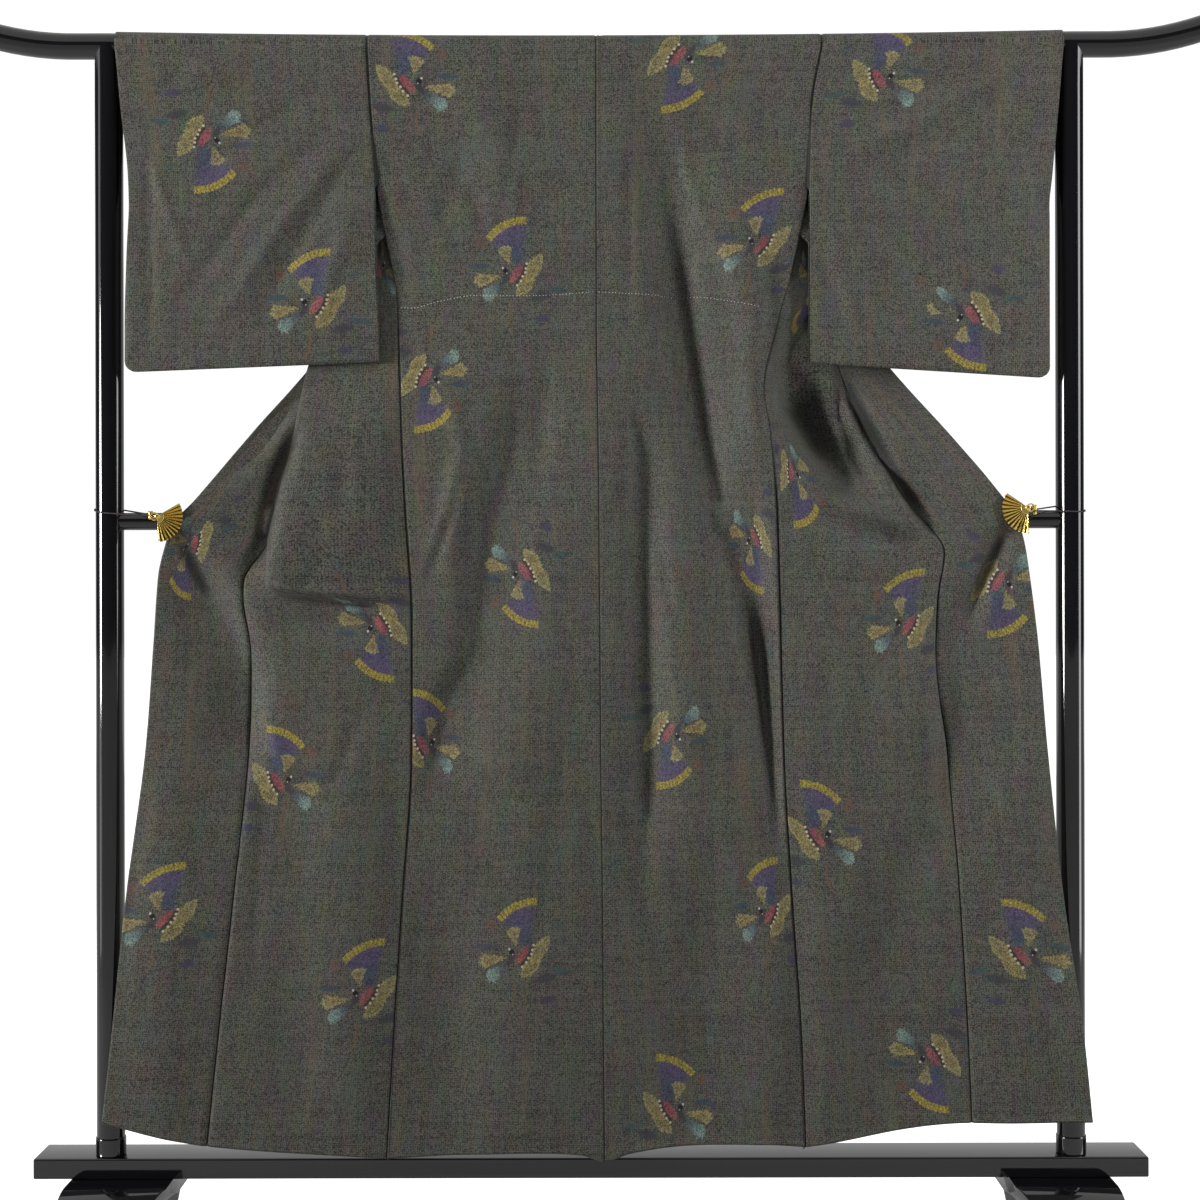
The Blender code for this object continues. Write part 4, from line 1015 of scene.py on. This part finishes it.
def backSpot(side, label, share, point, aboveHem):
    sign = sideSign(side)
    fromMiddle, fromSide = abs(point.x - backAt("middle", point.z)), abs(backAt(side, point.z) - point.x)
    turnIn, shade = valley("middle", fromMiddle), seamShade(fromMiddle)
    if side == "right":                        # the allowance's edge shows through as a shallow groove, with a line of painted shade along it
        fromAllowance = abs(fromMiddle - garment["allowance"])
        turnIn += 0.7 * max(1 - fromAllowance / 1.8, 0.0)
        shade = max(shade, 0.45 * max(1 - fromAllowance / 1.2, 0.0))
    sewn = point.z < garment["waistTop"] or point.z > garment["armholeEnd"]
    if sewn:
        turnIn += valley("side", fromSide)
        shade = max(shade, seamShade(fromSide))
    turnIn += hemTurn(aboveHem)
    if share < 1e-6:
        point.x += sign * garment["gap"] / 2
    if share > 1 - 1e-6:
        point.x -= sign * garment["gap"]
    flat = (sign * share * garment["backWidth"] * mm, point.z * mm)
    return Spot(point, flat, "back" + label, turnIn, shade)


def frontSpot(side, label, place, v, hem):
    sign, width = sideSign(side), garment["frontWidth"]
    fromSide, fromOkumi = place * width, abs(1 - place) * width
    if abs(place - 1) < 1e-6:
        place = 1 - garment["gap"] / width
    point = frontPoint(side, place, v)
    turnIn = hemTurn(v - hem)
    shade = 0.0
    if v < garment["waistTop"] or v > garment["armholeEnd"]:
        turnIn += valley("side", fromSide)
        shade = seamShade(fromSide)
    # inFold is painted shade for deep folds, joined with the painted seam shade below
    inFold = foldShade(point)
    if v < garment["okumiTop"]:
        turnIn += valley("okumi", fromOkumi) * (1 - inFold)
        shade = max(shade, seamShade(fromOkumi))
    shade = max(shade, inFold)
    if fromSide < 1e-6:
        point.x += sign * garment["gap"] * (1.5 if v < garment["waistTop"] + 1 else -1)
    return Spot(point, (sign * place * width * mm, point.z * mm), "front" + label, turnIn, shade)


def hemTurn(above):
    # a small roll along the hem
    if above > garment["hemRoll"]:
        return 0.0
    return 1.6 * max(1 - above / 1.8, 0.0) - 0.9 * math.sin(math.pi * above / garment["hemRoll"])


def makeOkumi(side, silk):
    # overlap panel outside the front, narrowing to a point at the collar
    name, label, sign = "okumi_" + side, side.capitalize(), sideSign(side)
    width = garment["frontWidth"]
    reach = (places["edge"] - 1) * width
    heights = fineHeights(frontShape[side]["seamZ"], garment["okumiTop"])
    grid = []
    for v in heights:
        line = []
        for d in closeAtEnds(reach, garment["step"]):
            place = 1 + max(d, garment["gap"]) / width
            point = frontPoint(side, place, v)
            # inFold is painted shade for deep folds, joined with the painted seam shade
            inFold = foldShade(point)
            turnIn = valley("okumi", d) * (1 - inFold) + hemTurn(v - heights[0])
            turnIn += 0.8 * valley("middle", reach - d)
            flat = (sign * place * width * mm, point.z * mm)
            line.append(Spot(point, flat, "okumi" + label, turnIn, max(seamShade(d), inFold)))
        grid.append([tongue(line[0], -sign)] + line)
    piece = hangSheet(name, grid, silk, side == "left", garment["wall"])
    standsFor(piece, "silk", name)
    return piece


def sleevePoint(side, across, down, layer):
    shape, sign = sleeveShape[side], sideSign(side)
    innerFoot, outerFoot = garment["sleeveFoot"][side]
    width = abs(shape["outer"][0] - shape["inner"][0])
    foot = innerFoot + (outerFoot - innerFoot) * across
    corner = max(garment["sleeveCorner"] - (1 - across) * width, 0.0)
    foot += garment["sleeveCorner"] - math.sqrt(garment["sleeveCorner"] ** 2 - corner ** 2)
    z = shoulderLine + (foot - shoulderLine) * down
    heights = shape["height"]
    inner = max(sign * eased(heights, shape["inner"], z), sign * backAt(side, z))
    inner = sign * (inner + garment["gap"])
    if layer == "rear":                        # its free edge swings in behind the back
        tucked = fade((z - garment["tuckLow"]) / 16) * fade((garment["tuckHigh"] - z) / 12)
        inner -= sign * garment["rearTuck"] * tucked
    x = inner + (eased(heights, shape["outer"], z) - inner) * across
    yIn, yOut = eased(heights, shape[layer + "In"], z), eased(heights, shape[layer + "Out"], z)
    y = yIn + (yOut - yIn) * across ** 2
    rest = fade((shoulderLine - z) / garment["railCalm"]) * fade((z - foot) / garment["seamCalm"])
    way = 1 if layer == "front" else -1
    seed = 9.1 if layer == "front" else 12.6
    folds = creaseDepth(sleeveCreases, x, z) * (1 if way > 0 else 0.5)
    y += way * rest * (folds + rippleDepth(x, z, seed))
    z += (railAxis(x) - shoulderLine) * (1 - down)
    return Vector((x, y, z))


def makeSleeve(side, silk):
    # a bag over the rail, open at the cuff and at the body
    name, label, sign = "sleeve_" + side, side.capitalize(), sideSign(side)
    top, foot = shoulderLine, garment["sleeveFoot"][side][0]
    width, last = garment["sleeveWidth"], garment["overRailRows"]
    steps = [d / width for d in closeAtEnds(width, garment["step"])]
    rows = math.ceil((top - foot) / garment["step"])
    downs = [(k / rows) for k in range(rows + 1)]
    grid = [[sleeveSpot(side, a, d, "front", label) for a in steps] for d in reversed(downs)]
    for row in range(1, last):
        angle = math.pi * row / last
        line = []
        for a in steps:
            edge = sleevePoint(side, a, 0.0, "front")
            point = shoulderPoint(edge.x, angle, -edge.y)
            rear = angle > math.pi / 2
            flat = (sign * a * width * mm + rearMap * rear, (top + garment["crown"] * math.sin(angle)) * mm)
            away = a * width
            layer = "shoulder" + label if rear else "sleeve" + label
            turnIn = min(valley("armhole", away), garment["overRail"])
            line.append(Spot(point, flat, layer, turnIn, seamShade(away)))
        grid.append(line)
    grid += [[sleeveSpot(side, a, d, "rear", label) for a in steps] for d in downs]
    for line in grid:
        sewn = line[0].point.z > garment["armholeEnd"]
        line.insert(0, tongue(line[0], -sign if sewn else 0.0))
    rearFoot = len(grid) - 1                   # the rounded fold that joins both feet of the bag
    for share in (0.3, 0.7):
        line = []
        for a, b in zip(grid[rearFoot], grid[0]):
            point = a.point.lerp(b.point, share) - Vector((0, 0, garment["bagFold"]))
            line.append(Spot(point, b.flat, "fold" + label))
        grid.append(line)
    grid.append([Spot(s.point, s.flat, "fold" + label) for s in grid[0]])
    piece = hangSheet(name, grid, silk, side == "left", garment["wall"], ringed=True)
    standsFor(piece, "silk", name)
    return piece


def sleeveSpot(side, across, down, layer, label):
    sign, width = sideSign(side), garment["sleeveWidth"]
    point = sleevePoint(side, across, down, layer)
    fromBody = across * width
    sewn = point.z > garment["armholeEnd"]
    turnIn = valley("armhole", fromBody) if sewn else 0.6 * valley("middle", fromBody)
    shade = seamShade(fromBody) if sewn else 0.0
    fromCuff = (1 - across) * width
    turnIn += 0.6 * valley("middle", fromCuff)
    if point.z < garment["cuffEnd"]:           # sewn shut below the cuff
        close = fade((garment["cuffEnd"] - point.z) / 25) * fade(1 - fromCuff / 6)
        shut = garment["seamClose"] + (-1.0 if layer == "front" else 1.0)
        point.y += (shut - point.y) * close
    suffix, shift = ("", 0.0) if layer == "front" else ("Rear", rearMap)
    return Spot(point, (sign * fromBody * mm + shift, point.z * mm), "sleeve" + label + suffix, turnIn, shade)


def makeCollar(silk):
    # folded band inside both edges and round the neck
    spine = []
    rows, across = garment["collarRows"], garment["neckRows"]
    aside, back, down = garment["collarLean"]
    straight = Vector((0, back, -1))           # how the band lies from its edge at the neck
    for side in ("left", "right"):
        half = []
        for share in (row / rows for row in range(rows + 1)):
            v = garment["collarEnd"] + (shoulderLine - garment["collarEnd"]) * share
            point = frontPoint(side, places["edge"], v)
            point.y += garment["collarBehind"]
            turn = fade((share - garment["collarTurn"]) / (1 - garment["collarTurn"]))
            lie = Vector((-sideSign(side) * aside, back, down)).lerp(straight, turn)
            half.append((point, lie.normalized()))
        spine.append(half)
    left, right = spine
    start, end = left[-1][0], right[-1][0]
    neck = [(start.lerp(end, k / across), straight.normalized()) for k in range(1, across)]
    line = left + neck + right[::-1]
    grid, run = [], 0.0
    for number, (point, lie) in enumerate(line):
        if number:
            run += (point - line[number - 1][0]).length
        row = []
        for d in closeAtEnds(garment["collarWidth"], garment["step"]):
            turnIn = 0.7 * valley("middle", d) + 0.7 * valley("middle", garment["collarWidth"] - d)
            row.append(Spot(point + lie * d, (d * mm, run * mm), "collar", turnIn))
        grid.append(row)
    piece = hangSheet("collar", grid, silk, False, garment["collarWall"])
    standsFor(piece, "silk", "collar")
    return piece


# running stitches that hold the length taken in across the back
stitches = {
    "length": 2.3, "radius": 0.32, "pitch": 4.7, "lift": 0.25,
    "lines": {
        "left": ((-268, 1341), (-254, 1340), (-210, 1350), (-162, 1357), (-85, 1356), (6, 1361)),
        "right": ((14, 1361), (84, 1358), (155, 1357), (193, 1350), (243, 1339))}}


def makeStitches(thread):
    bm = bmesh.new()
    for side, line in stitches["lines"].items():
        xs, zs = zip(*line)
        x, count = xs[0], 0
        while x < xs[-1]:
            z = eased(xs, zs, x)
            middle, seam = backAt("middle", z), backAt(side, z)
            place = backPoint(side, (x - middle) / (seam - middle), z)
            place.y -= stitches["lift"]
            ahead = eased(xs, zs, x + 2) - z
            turn = Matrix.Rotation(math.atan2(ahead, 2.0), 4, (0, -1, 0))
            size = Matrix.Diagonal((stitches["length"] / 2, stitches["radius"], stitches["radius"], 1))
            bmesh.ops.create_uvsphere(bm, u_segments=6, v_segments=5, radius=1.0,
                                      matrix=Matrix.Translation(place) @ turn @ size)
            count += 1
            x += stitches["pitch"] * (1 + 0.16 * math.sin(count * 2.4))
    piece = keepPiece("backStitches", bm, thread, sharp=80)
    return standsFor(piece, "silk")


# the stand

stand = {
    "railRadius": 18.5, "railHeight": 1719.0, "railSag": 6.5, "railReach": 930.0,
    "flareStart": 740.0, "flareRate": 0.00116, "midHeight": 1037.0, "midRadius": 12.5,
    "postX": 689.0, "postRadius": 20.0, "ringRadius": 21.5, "ringHeight": 26.0,
    "beamLength": 1588.0, "beamFront": -26.0, "beamRear": 54.0, "beamLow": 100.0, "beamHigh": 129.0,
    "footX": 662.0, "footWidth": 157.0, "footReach": 210.0, "footFlat": 60.0, "footArch": 40.0,
    "footBand": 15.0, "footEnd": 9.0, "footPad": 34.0, "footTaper": 60.0, "footBends": 28,
    "gap": 0.3, "beamRound": 2.5, "footRound": 1.6, "postRow": 60.0, "postTop": 1716.0}
# the rail's rounded end: distance from the tip and share of the full radius
railEnd = ((0.0, 0.72), (0.6, 0.84), (2.0, 0.93), (4.5, 0.985), (8.0, 1.0))


def tube(name, line, radii, material, sides=48, closed=False):
    # round bar along points, each ring square to the line and with its own radius
    bm, count, turns = bmesh.new(), len(line), []
    for k, point in enumerate(line):
        ahead, behind = line[min(k + 1, count - 1)], line[max(k - 1, 0)]
        if closed:
            ahead, behind = line[(k + 1) % count], line[k - 1]
        turn = (ahead - behind).to_track_quat("Z", "Y").to_matrix().to_4x4()
        turns.append(Matrix.Translation(point) @ turn)
    steps = count if closed else count - 1
    bmesh.ops.create_grid(bm, x_segments=sides, y_segments=steps, size=1.0)
    for vert in bm.verts:
        angle = math.pi * (vert.co.x + 1)
        k = round((vert.co.y + 1) / 2 * steps) % count
        vert.co = turns[k] @ Vector((radii[k] * math.cos(angle), radii[k] * math.sin(angle), 0))
    bmesh.ops.remove_doubles(bm, verts=bm.verts, dist=1e-4)
    bmesh.ops.holes_fill(bm, edges=bm.edges, sides=0)
    bmesh.ops.recalc_face_normals(bm, faces=bm.faces)
    return keepPiece(name, bm, material, sharp=60)


def makeRails(lacquer):
    s = stand
    reach, radius, rows = s["railReach"], s["railRadius"], 96
    xs = [-reach + d for d, share in railEnd]
    radii = [radius * share for d, share in railEnd]
    inner = [xs[-1] - 2 * xs[-1] * k / rows for k in range(1, rows)]
    line = xs + inner + [-x for x in xs[::-1]]
    radii = radii + [radius] * len(inner) + radii[::-1]
    rail = tube("railBar", [Vector((x, 0, railAxis(x))) for x in line], radii, lacquer, 64)
    standsFor(rail, "lacquer", "top_rail")

    end = s["postX"] - math.sqrt((s["postRadius"] + s["gap"]) ** 2 - s["midRadius"] ** 2)
    line = [Vector((end * (k / 10 - 1), 0, s["midHeight"])) for k in range(21)]
    mid = tube("middleBar", line, [s["midRadius"]] * 21, lacquer, 48)
    standsFor(mid, "lacquer", "mid_rail")


def makePost(side, lacquer):
    s = stand
    x, low = sideSign(side) * s["postX"], s["beamHigh"] + s["gap"]
    ring, post = s["ringRadius"], s["postRadius"]
    high, top = low + s["ringHeight"], s["postTop"]
    profile = [(0.0, low), (ring - 1.2, low), (ring, low + 1.2), (ring, low + 2.0), (ring, high - 2.4),
               (ring, high - 1.6), (ring - 0.5, high - 0.4), (post, high), (post, high + 1.0)]
    rows = round((top - high) / s["postRow"]) - 1
    profile += [(post, high + s["postRow"] * k) for k in range(1, rows + 1)] + [(post, top)]
    bm = bmesh.new()
    verts = [bm.verts.new((r, 0, z)) for r, z in profile]
    edges = [bm.edges.new(pair) for pair in zip(verts, verts[1:])]
    bmesh.ops.spin(bm, geom=verts + edges, cent=(0, 0, 0), axis=(0, 0, 1), angle=2 * math.pi,
                   steps=64, use_merge=True)
    bmesh.ops.remove_doubles(bm, verts=bm.verts, dist=1e-4)
    bmesh.ops.holes_fill(bm, edges=bm.edges, sides=0)
    bmesh.ops.recalc_face_normals(bm, faces=bm.faces)
    bmesh.ops.translate(bm, vec=(x, 0, 0), verts=bm.verts)
    saddle = s["railRadius"] + s["gap"]
    for vert in bm.verts:                      # the top is hollowed to the rail's round
        if vert.co.z > top - 1:
            vert.co.z = railAxis(vert.co.x) - math.sqrt(max(saddle ** 2 - vert.co.y ** 2, 0.0))
    piece = keepPiece("post" + side.capitalize(), bm, lacquer, sharp=35)
    standsFor(piece, "lacquer", "post_" + side)


def makeBeam(lacquer):
    s = stand
    bm = bmesh.new()
    size = (s["beamLength"], s["beamRear"] - s["beamFront"], s["beamHigh"] - s["beamLow"], 1)
    centre = (0, (s["beamRear"] + s["beamFront"]) / 2, (s["beamHigh"] + s["beamLow"]) / 2)
    bmesh.ops.create_cube(bm, size=1.0, matrix=Matrix.Translation(centre) @ Matrix.Diagonal(size))
    bmesh.ops.bevel(bm, geom=bm.edges, offset=s["beamRound"], segments=5, profile=0.5,
                    affect="EDGES", material=-1)
    standsFor(keepPiece("baseBeam", bm, lacquer, sharp=45), "lacquer", "base_beam")


def makeFoot(side, lacquer):
    # one side outline, pushed across; its outer edge slants in towards both toes
    s, bends = stand, stand["footBends"]
    under = s["beamLow"] - s["gap"]
    upper, lower = [(-s["footReach"], 0.0)], []
    for k in range(bends + 1):
        t = k / bends
        rise = math.sin(t * math.pi / 2)
        upper.append((-s["footReach"] + (s["footReach"] - s["footFlat"]) * t,
                      s["footEnd"] + (under - s["footEnd"]) * rise ** 1.15))
        inner = s["footReach"] - s["footPad"]
        lower.append((inner - (inner - s["footArch"]) * t, (under - s["footBand"]) * rise ** 1.1))
    upper += [(-y, z) for y, z in upper[::-1]]
    outline = upper + lower + [(-y, z) for y, z in lower[::-1]]
    sign = sideSign(side)
    x = sign * s["footX"]
    bm = bmesh.new()
    face = bm.faces.new([bm.verts.new((x - s["footWidth"] / 2, y, z)) for y, z in outline])
    pushed = bmesh.ops.extrude_face_region(bm, geom=[face])["geom"]
    moved = [g for g in pushed if isinstance(g, bmesh.types.BMVert)]
    bmesh.ops.translate(bm, vec=(s["footWidth"], 0, 0), verts=moved)
    for vert in bm.verts:
        if (vert.co.x - x) * sign < 0:
            past = max(abs(vert.co.y) - s["footFlat"] / 2, 0.0) / (s["footReach"] - s["footFlat"] / 2)
            vert.co.x += sign * s["footTaper"] * past
    bmesh.ops.recalc_face_normals(bm, faces=bm.faces)
    rims = [e for e in bm.edges if e.calc_face_angle(0) > math.radians(50)]
    bmesh.ops.bevel(bm, geom=rims, offset=s["footRound"], segments=3, profile=0.5,
                    affect="EDGES", material=-1)
    standsFor(keepPiece("foot" + side.capitalize(), bm, lacquer, sharp=35), "lacquer", "foot_" + side)


# the clips that hold the opened fronts

clip = {
    "left": {"pivot": (-614.0, 1043.0), "from": 29.0, "to": -85.0},
    "right": {"pivot": (622.0, 1053.0), "from": 147.0, "to": 270.0},
    "radius": 37.0, "pleats": 12, "plate": 1.2, "pleatDepth": 3.0, "pleatStart": 0.2, "trim": 0.9,
    "columns": 96, "leafPlate": 0.9, "leafDepth": 1.9, "leafLift": 0.5, "leafRib": 0.12,
    "leafRadius": 10.0, "jawFront": -31.0, "jawBack": -20.6, "jawPlate": 1.4,
    "ringRadius": 5.2, "ringWire": 0.9, "ringOut": 4.0, "ringFront": 1.4,
    "barrelRadius": 3.2, "barrelEnd": 4.0, "hinge": 10.5, "armIn": 6.0, "armHigh": 4.6, "armRound": 0.8,
    "elastic": 1.1, "loopHeight": 1052.5, "loopTilt": 0.2, "loopSlope": -0.1, "slopeReach": 24.0}
# radii of the rows of each fan-shaped plate; the rivet's steps forward and their radii
ribRows = (8, 10, 13, 16, 20, 24, 28, 32, 34.5, 36.2, 37.0)
leafRows = (2.0, 4, 6, 8, 9.2, 10)
rearRows = (3.0, 10, 18, 26, 31, 33)
rivet = ((0.1, 3.6), (3.6, 3.6), (4.4, 3.0), (4.9, 1.4))


def fanSector(side, name, material, rows, depthAt, columns, trim=0.0):
    # polar grid round the pivot, its outer edge trimmed between the ribs
    c = clip[side]
    px, pz = c["pivot"]
    bm = bmesh.new()
    gap = bm.verts.layers.float.new("gap")
    bmesh.ops.create_grid(bm, x_segments=columns, y_segments=len(rows) - 1, size=1.0)
    for vert in bm.verts:
        i = (vert.co.x + 1) / 2
        j = round((vert.co.y + 1) / 2 * (len(rows) - 1))
        angle = math.radians(c["from"] + (c["to"] - c["from"]) * i)
        wave = abs((i * clip["pleats"]) % 1.0 - 0.5) * 2           # 1 on the ridges, 0 in the valleys
        radius = rows[j] - trim * (1 - wave) * (j == len(rows) - 1)
        x, z = px + radius * math.cos(angle), pz + radius * math.sin(angle)
        vert.co = Vector((x, depthAt(radius, wave), z))
        # the 'gap' layer marks the pleat valleys, where shade is painted into the gold
        vert[gap] = (1 - wave) * (trim > 0)
    bmesh.ops.recalc_face_normals(bm, faces=bm.faces)
    bm.normal_update()
    if sum(f.normal.y for f in bm.faces) > 0:
        bmesh.ops.reverse_faces(bm, faces=bm.faces)
    return keepPiece(name, bm, material, sharp=25)


def makeFan(side, gold):
    # the pleated front jaw with its leaf, rivet and wire ring
    c, label = clip, side.capitalize()
    px, pz = c[side]["pivot"]
    front = c["jawFront"]

    def ribs(radius, wave):
        return front - c["plate"] - c["pleatStart"] - c["pleatDepth"] * wave * radius / c["radius"]

    def leaf(radius, wave):
        lift = c["leafLift"] * math.cos(min(radius / c["leafRadius"], 1.0) * math.pi / 2)
        return front - c["plate"] - c["leafDepth"] - lift - c["leafRib"] * wave

    fan = fanSector(side, "fan" + label, gold, ribRows, ribs, c["columns"], c["trim"])
    thicken(fan, c["plate"])
    hub = fanSector(side, "fanLeaf" + label, gold, leafRows, leaf, c["columns"])
    thicken(hub, c["leafPlate"])
    knobLine = [Vector((px, front - step, pz)) for step, radius in rivet]
    knob = tube("fanRivet" + label, knobLine, [radius for step, radius in rivet], gold, 32)
    bm = bmesh.new()                           # the wire ring where the loop is tied
    upright = Matrix.Rotation(math.pi / 2, 4, "X")
    bmesh.ops.create_circle(bm, segments=14, radius=c["ringWire"],
                            matrix=Matrix.Translation((c["ringRadius"], 0, 0)) @ upright)
    bmesh.ops.spin(bm, geom=bm.verts[:] + bm.edges[:], cent=(0, 0, 0), axis=(0, 0, 1),
                   angle=2 * math.pi, steps=36, use_merge=True)
    bmesh.ops.remove_doubles(bm, verts=bm.verts, dist=1e-4)
    bmesh.ops.recalc_face_normals(bm, faces=bm.faces)
    place = Matrix.Translation((px + sideSign(side) * c["ringOut"], front - c["ringFront"], pz))
    bmesh.ops.transform(bm, matrix=place @ upright, verts=bm.verts)
    for piece in (fan, hub, knob, keepPiece("fanRing" + label, bm, gold)):
        standsFor(piece, "gold", "clip_fan_" + side)


def makeClip(side, gold, elastic):
    # the fan, then the plain rear jaw with its hinge barrel, and the loop round the post
    makeFan(side, gold)
    c, sign, label = clip, sideSign(side), side.capitalize()
    px, pz = c[side]["pivot"]
    rear = fanSector(side, "rearJaw" + label, gold, rearRows, lambda radius, wave: c["jawBack"], 48)
    thicken(rear, c["jawPlate"], 1.0)
    depth = c["jawFront"] + stand["gap"] + c["barrelRadius"]
    hingeX = px + sign * c["hinge"]
    low, high = sorted((pz, c["loopHeight"] + c["loopTilt"] * depth))
    out, wide = c["barrelEnd"], c["barrelRadius"]
    zs = [low - out, low - out + 0.4, low - 1, high + 1, high + out - 0.4, high + out]
    radii = [wide - 0.6, wide, wide, wide, wide, wide - 0.6]
    barrel = tube("hingeBarrel" + label, [Vector((hingeX, depth, z)) for z in zs], radii, gold, 32)
    bm = bmesh.new()                           # arm from the rear jaw to the barrel
    size = (c["hinge"] + c["armIn"], c["jawBack"] + c["jawPlate"] - depth, c["armHigh"], 1)
    centre = (px + sign * (c["hinge"] - c["armIn"]) / 2, depth + size[1] / 2, pz)
    bmesh.ops.create_cube(bm, size=1.0, matrix=Matrix.Translation(centre) @ Matrix.Diagonal(size))
    bmesh.ops.bevel(bm, geom=bm.edges, offset=c["armRound"], segments=3, profile=0.5,
                    affect="EDGES", material=-1)
    for piece in (rear, barrel, keepPiece("clipArm" + label, bm, gold)):
        standsFor(piece, "gold", "clip_back_" + side)
    makeLoop(side, hingeX, depth, elastic)


def makeLoop(side, hingeX, depth, elastic):
    # closed elastic loop from the hinge barrel round the post, sloping a little across it
    c, sign = clip, sideSign(side)
    near, far = (radius + stand["gap"] + c["elastic"] for radius in (c["barrelRadius"], stand["postRadius"]))
    centres = ((Vector((hingeX, depth)), near), (Vector((sign * stand["postX"], 0)), far))
    span = centres[1][0] - centres[0][0]
    heading, lean = math.atan2(span.y, span.x), math.acos((near - far) / span.length)
    line = []
    for (centre, radius), start, end, steps in (
            (centres[0], lean, 2 * math.pi - lean, 16), (centres[1], -lean, lean, 40)):
        for k in range(steps + 1):
            angle = heading + start + (end - start) * k / steps
            x, y = centre.x + radius * math.cos(angle), centre.y + radius * math.sin(angle)
            beside = min(max(x - sign * stand["postX"], -c["slopeReach"]), c["slopeReach"])
            line.append(Vector((x, y, c["loopHeight"] + c["loopTilt"] * y + c["loopSlope"] * beside)))
    radii = [c["elastic"]] * len(line)
    loop = tube("elasticLoop" + side.capitalize(), line, radii, elastic, 12, closed=True)
    standsFor(loop, "elastic", "clip_cord_" + side)


makeStudio()
print("studio ready")
silk, lacquer, gold = makeSilk(), makeLacquer(), makeGold()
elastic, thread = makeCordFinish("elastic"), makeCordFinish("thread")
print("finishes ready")
for side in ("left", "right"):
    makeBody(side, silk)
    makeOkumi(side, silk)
    makeSleeve(side, silk)
makeCollar(silk)
makeStitches(thread)
print("cloth hung")
makeRails(lacquer)
makeBeam(lacquer)
for side in ("left", "right"):
    makePost(side, lacquer)
    makeFoot(side, lacquer)
    makeClip(side, gold, elastic)
print("stand and clips ready")
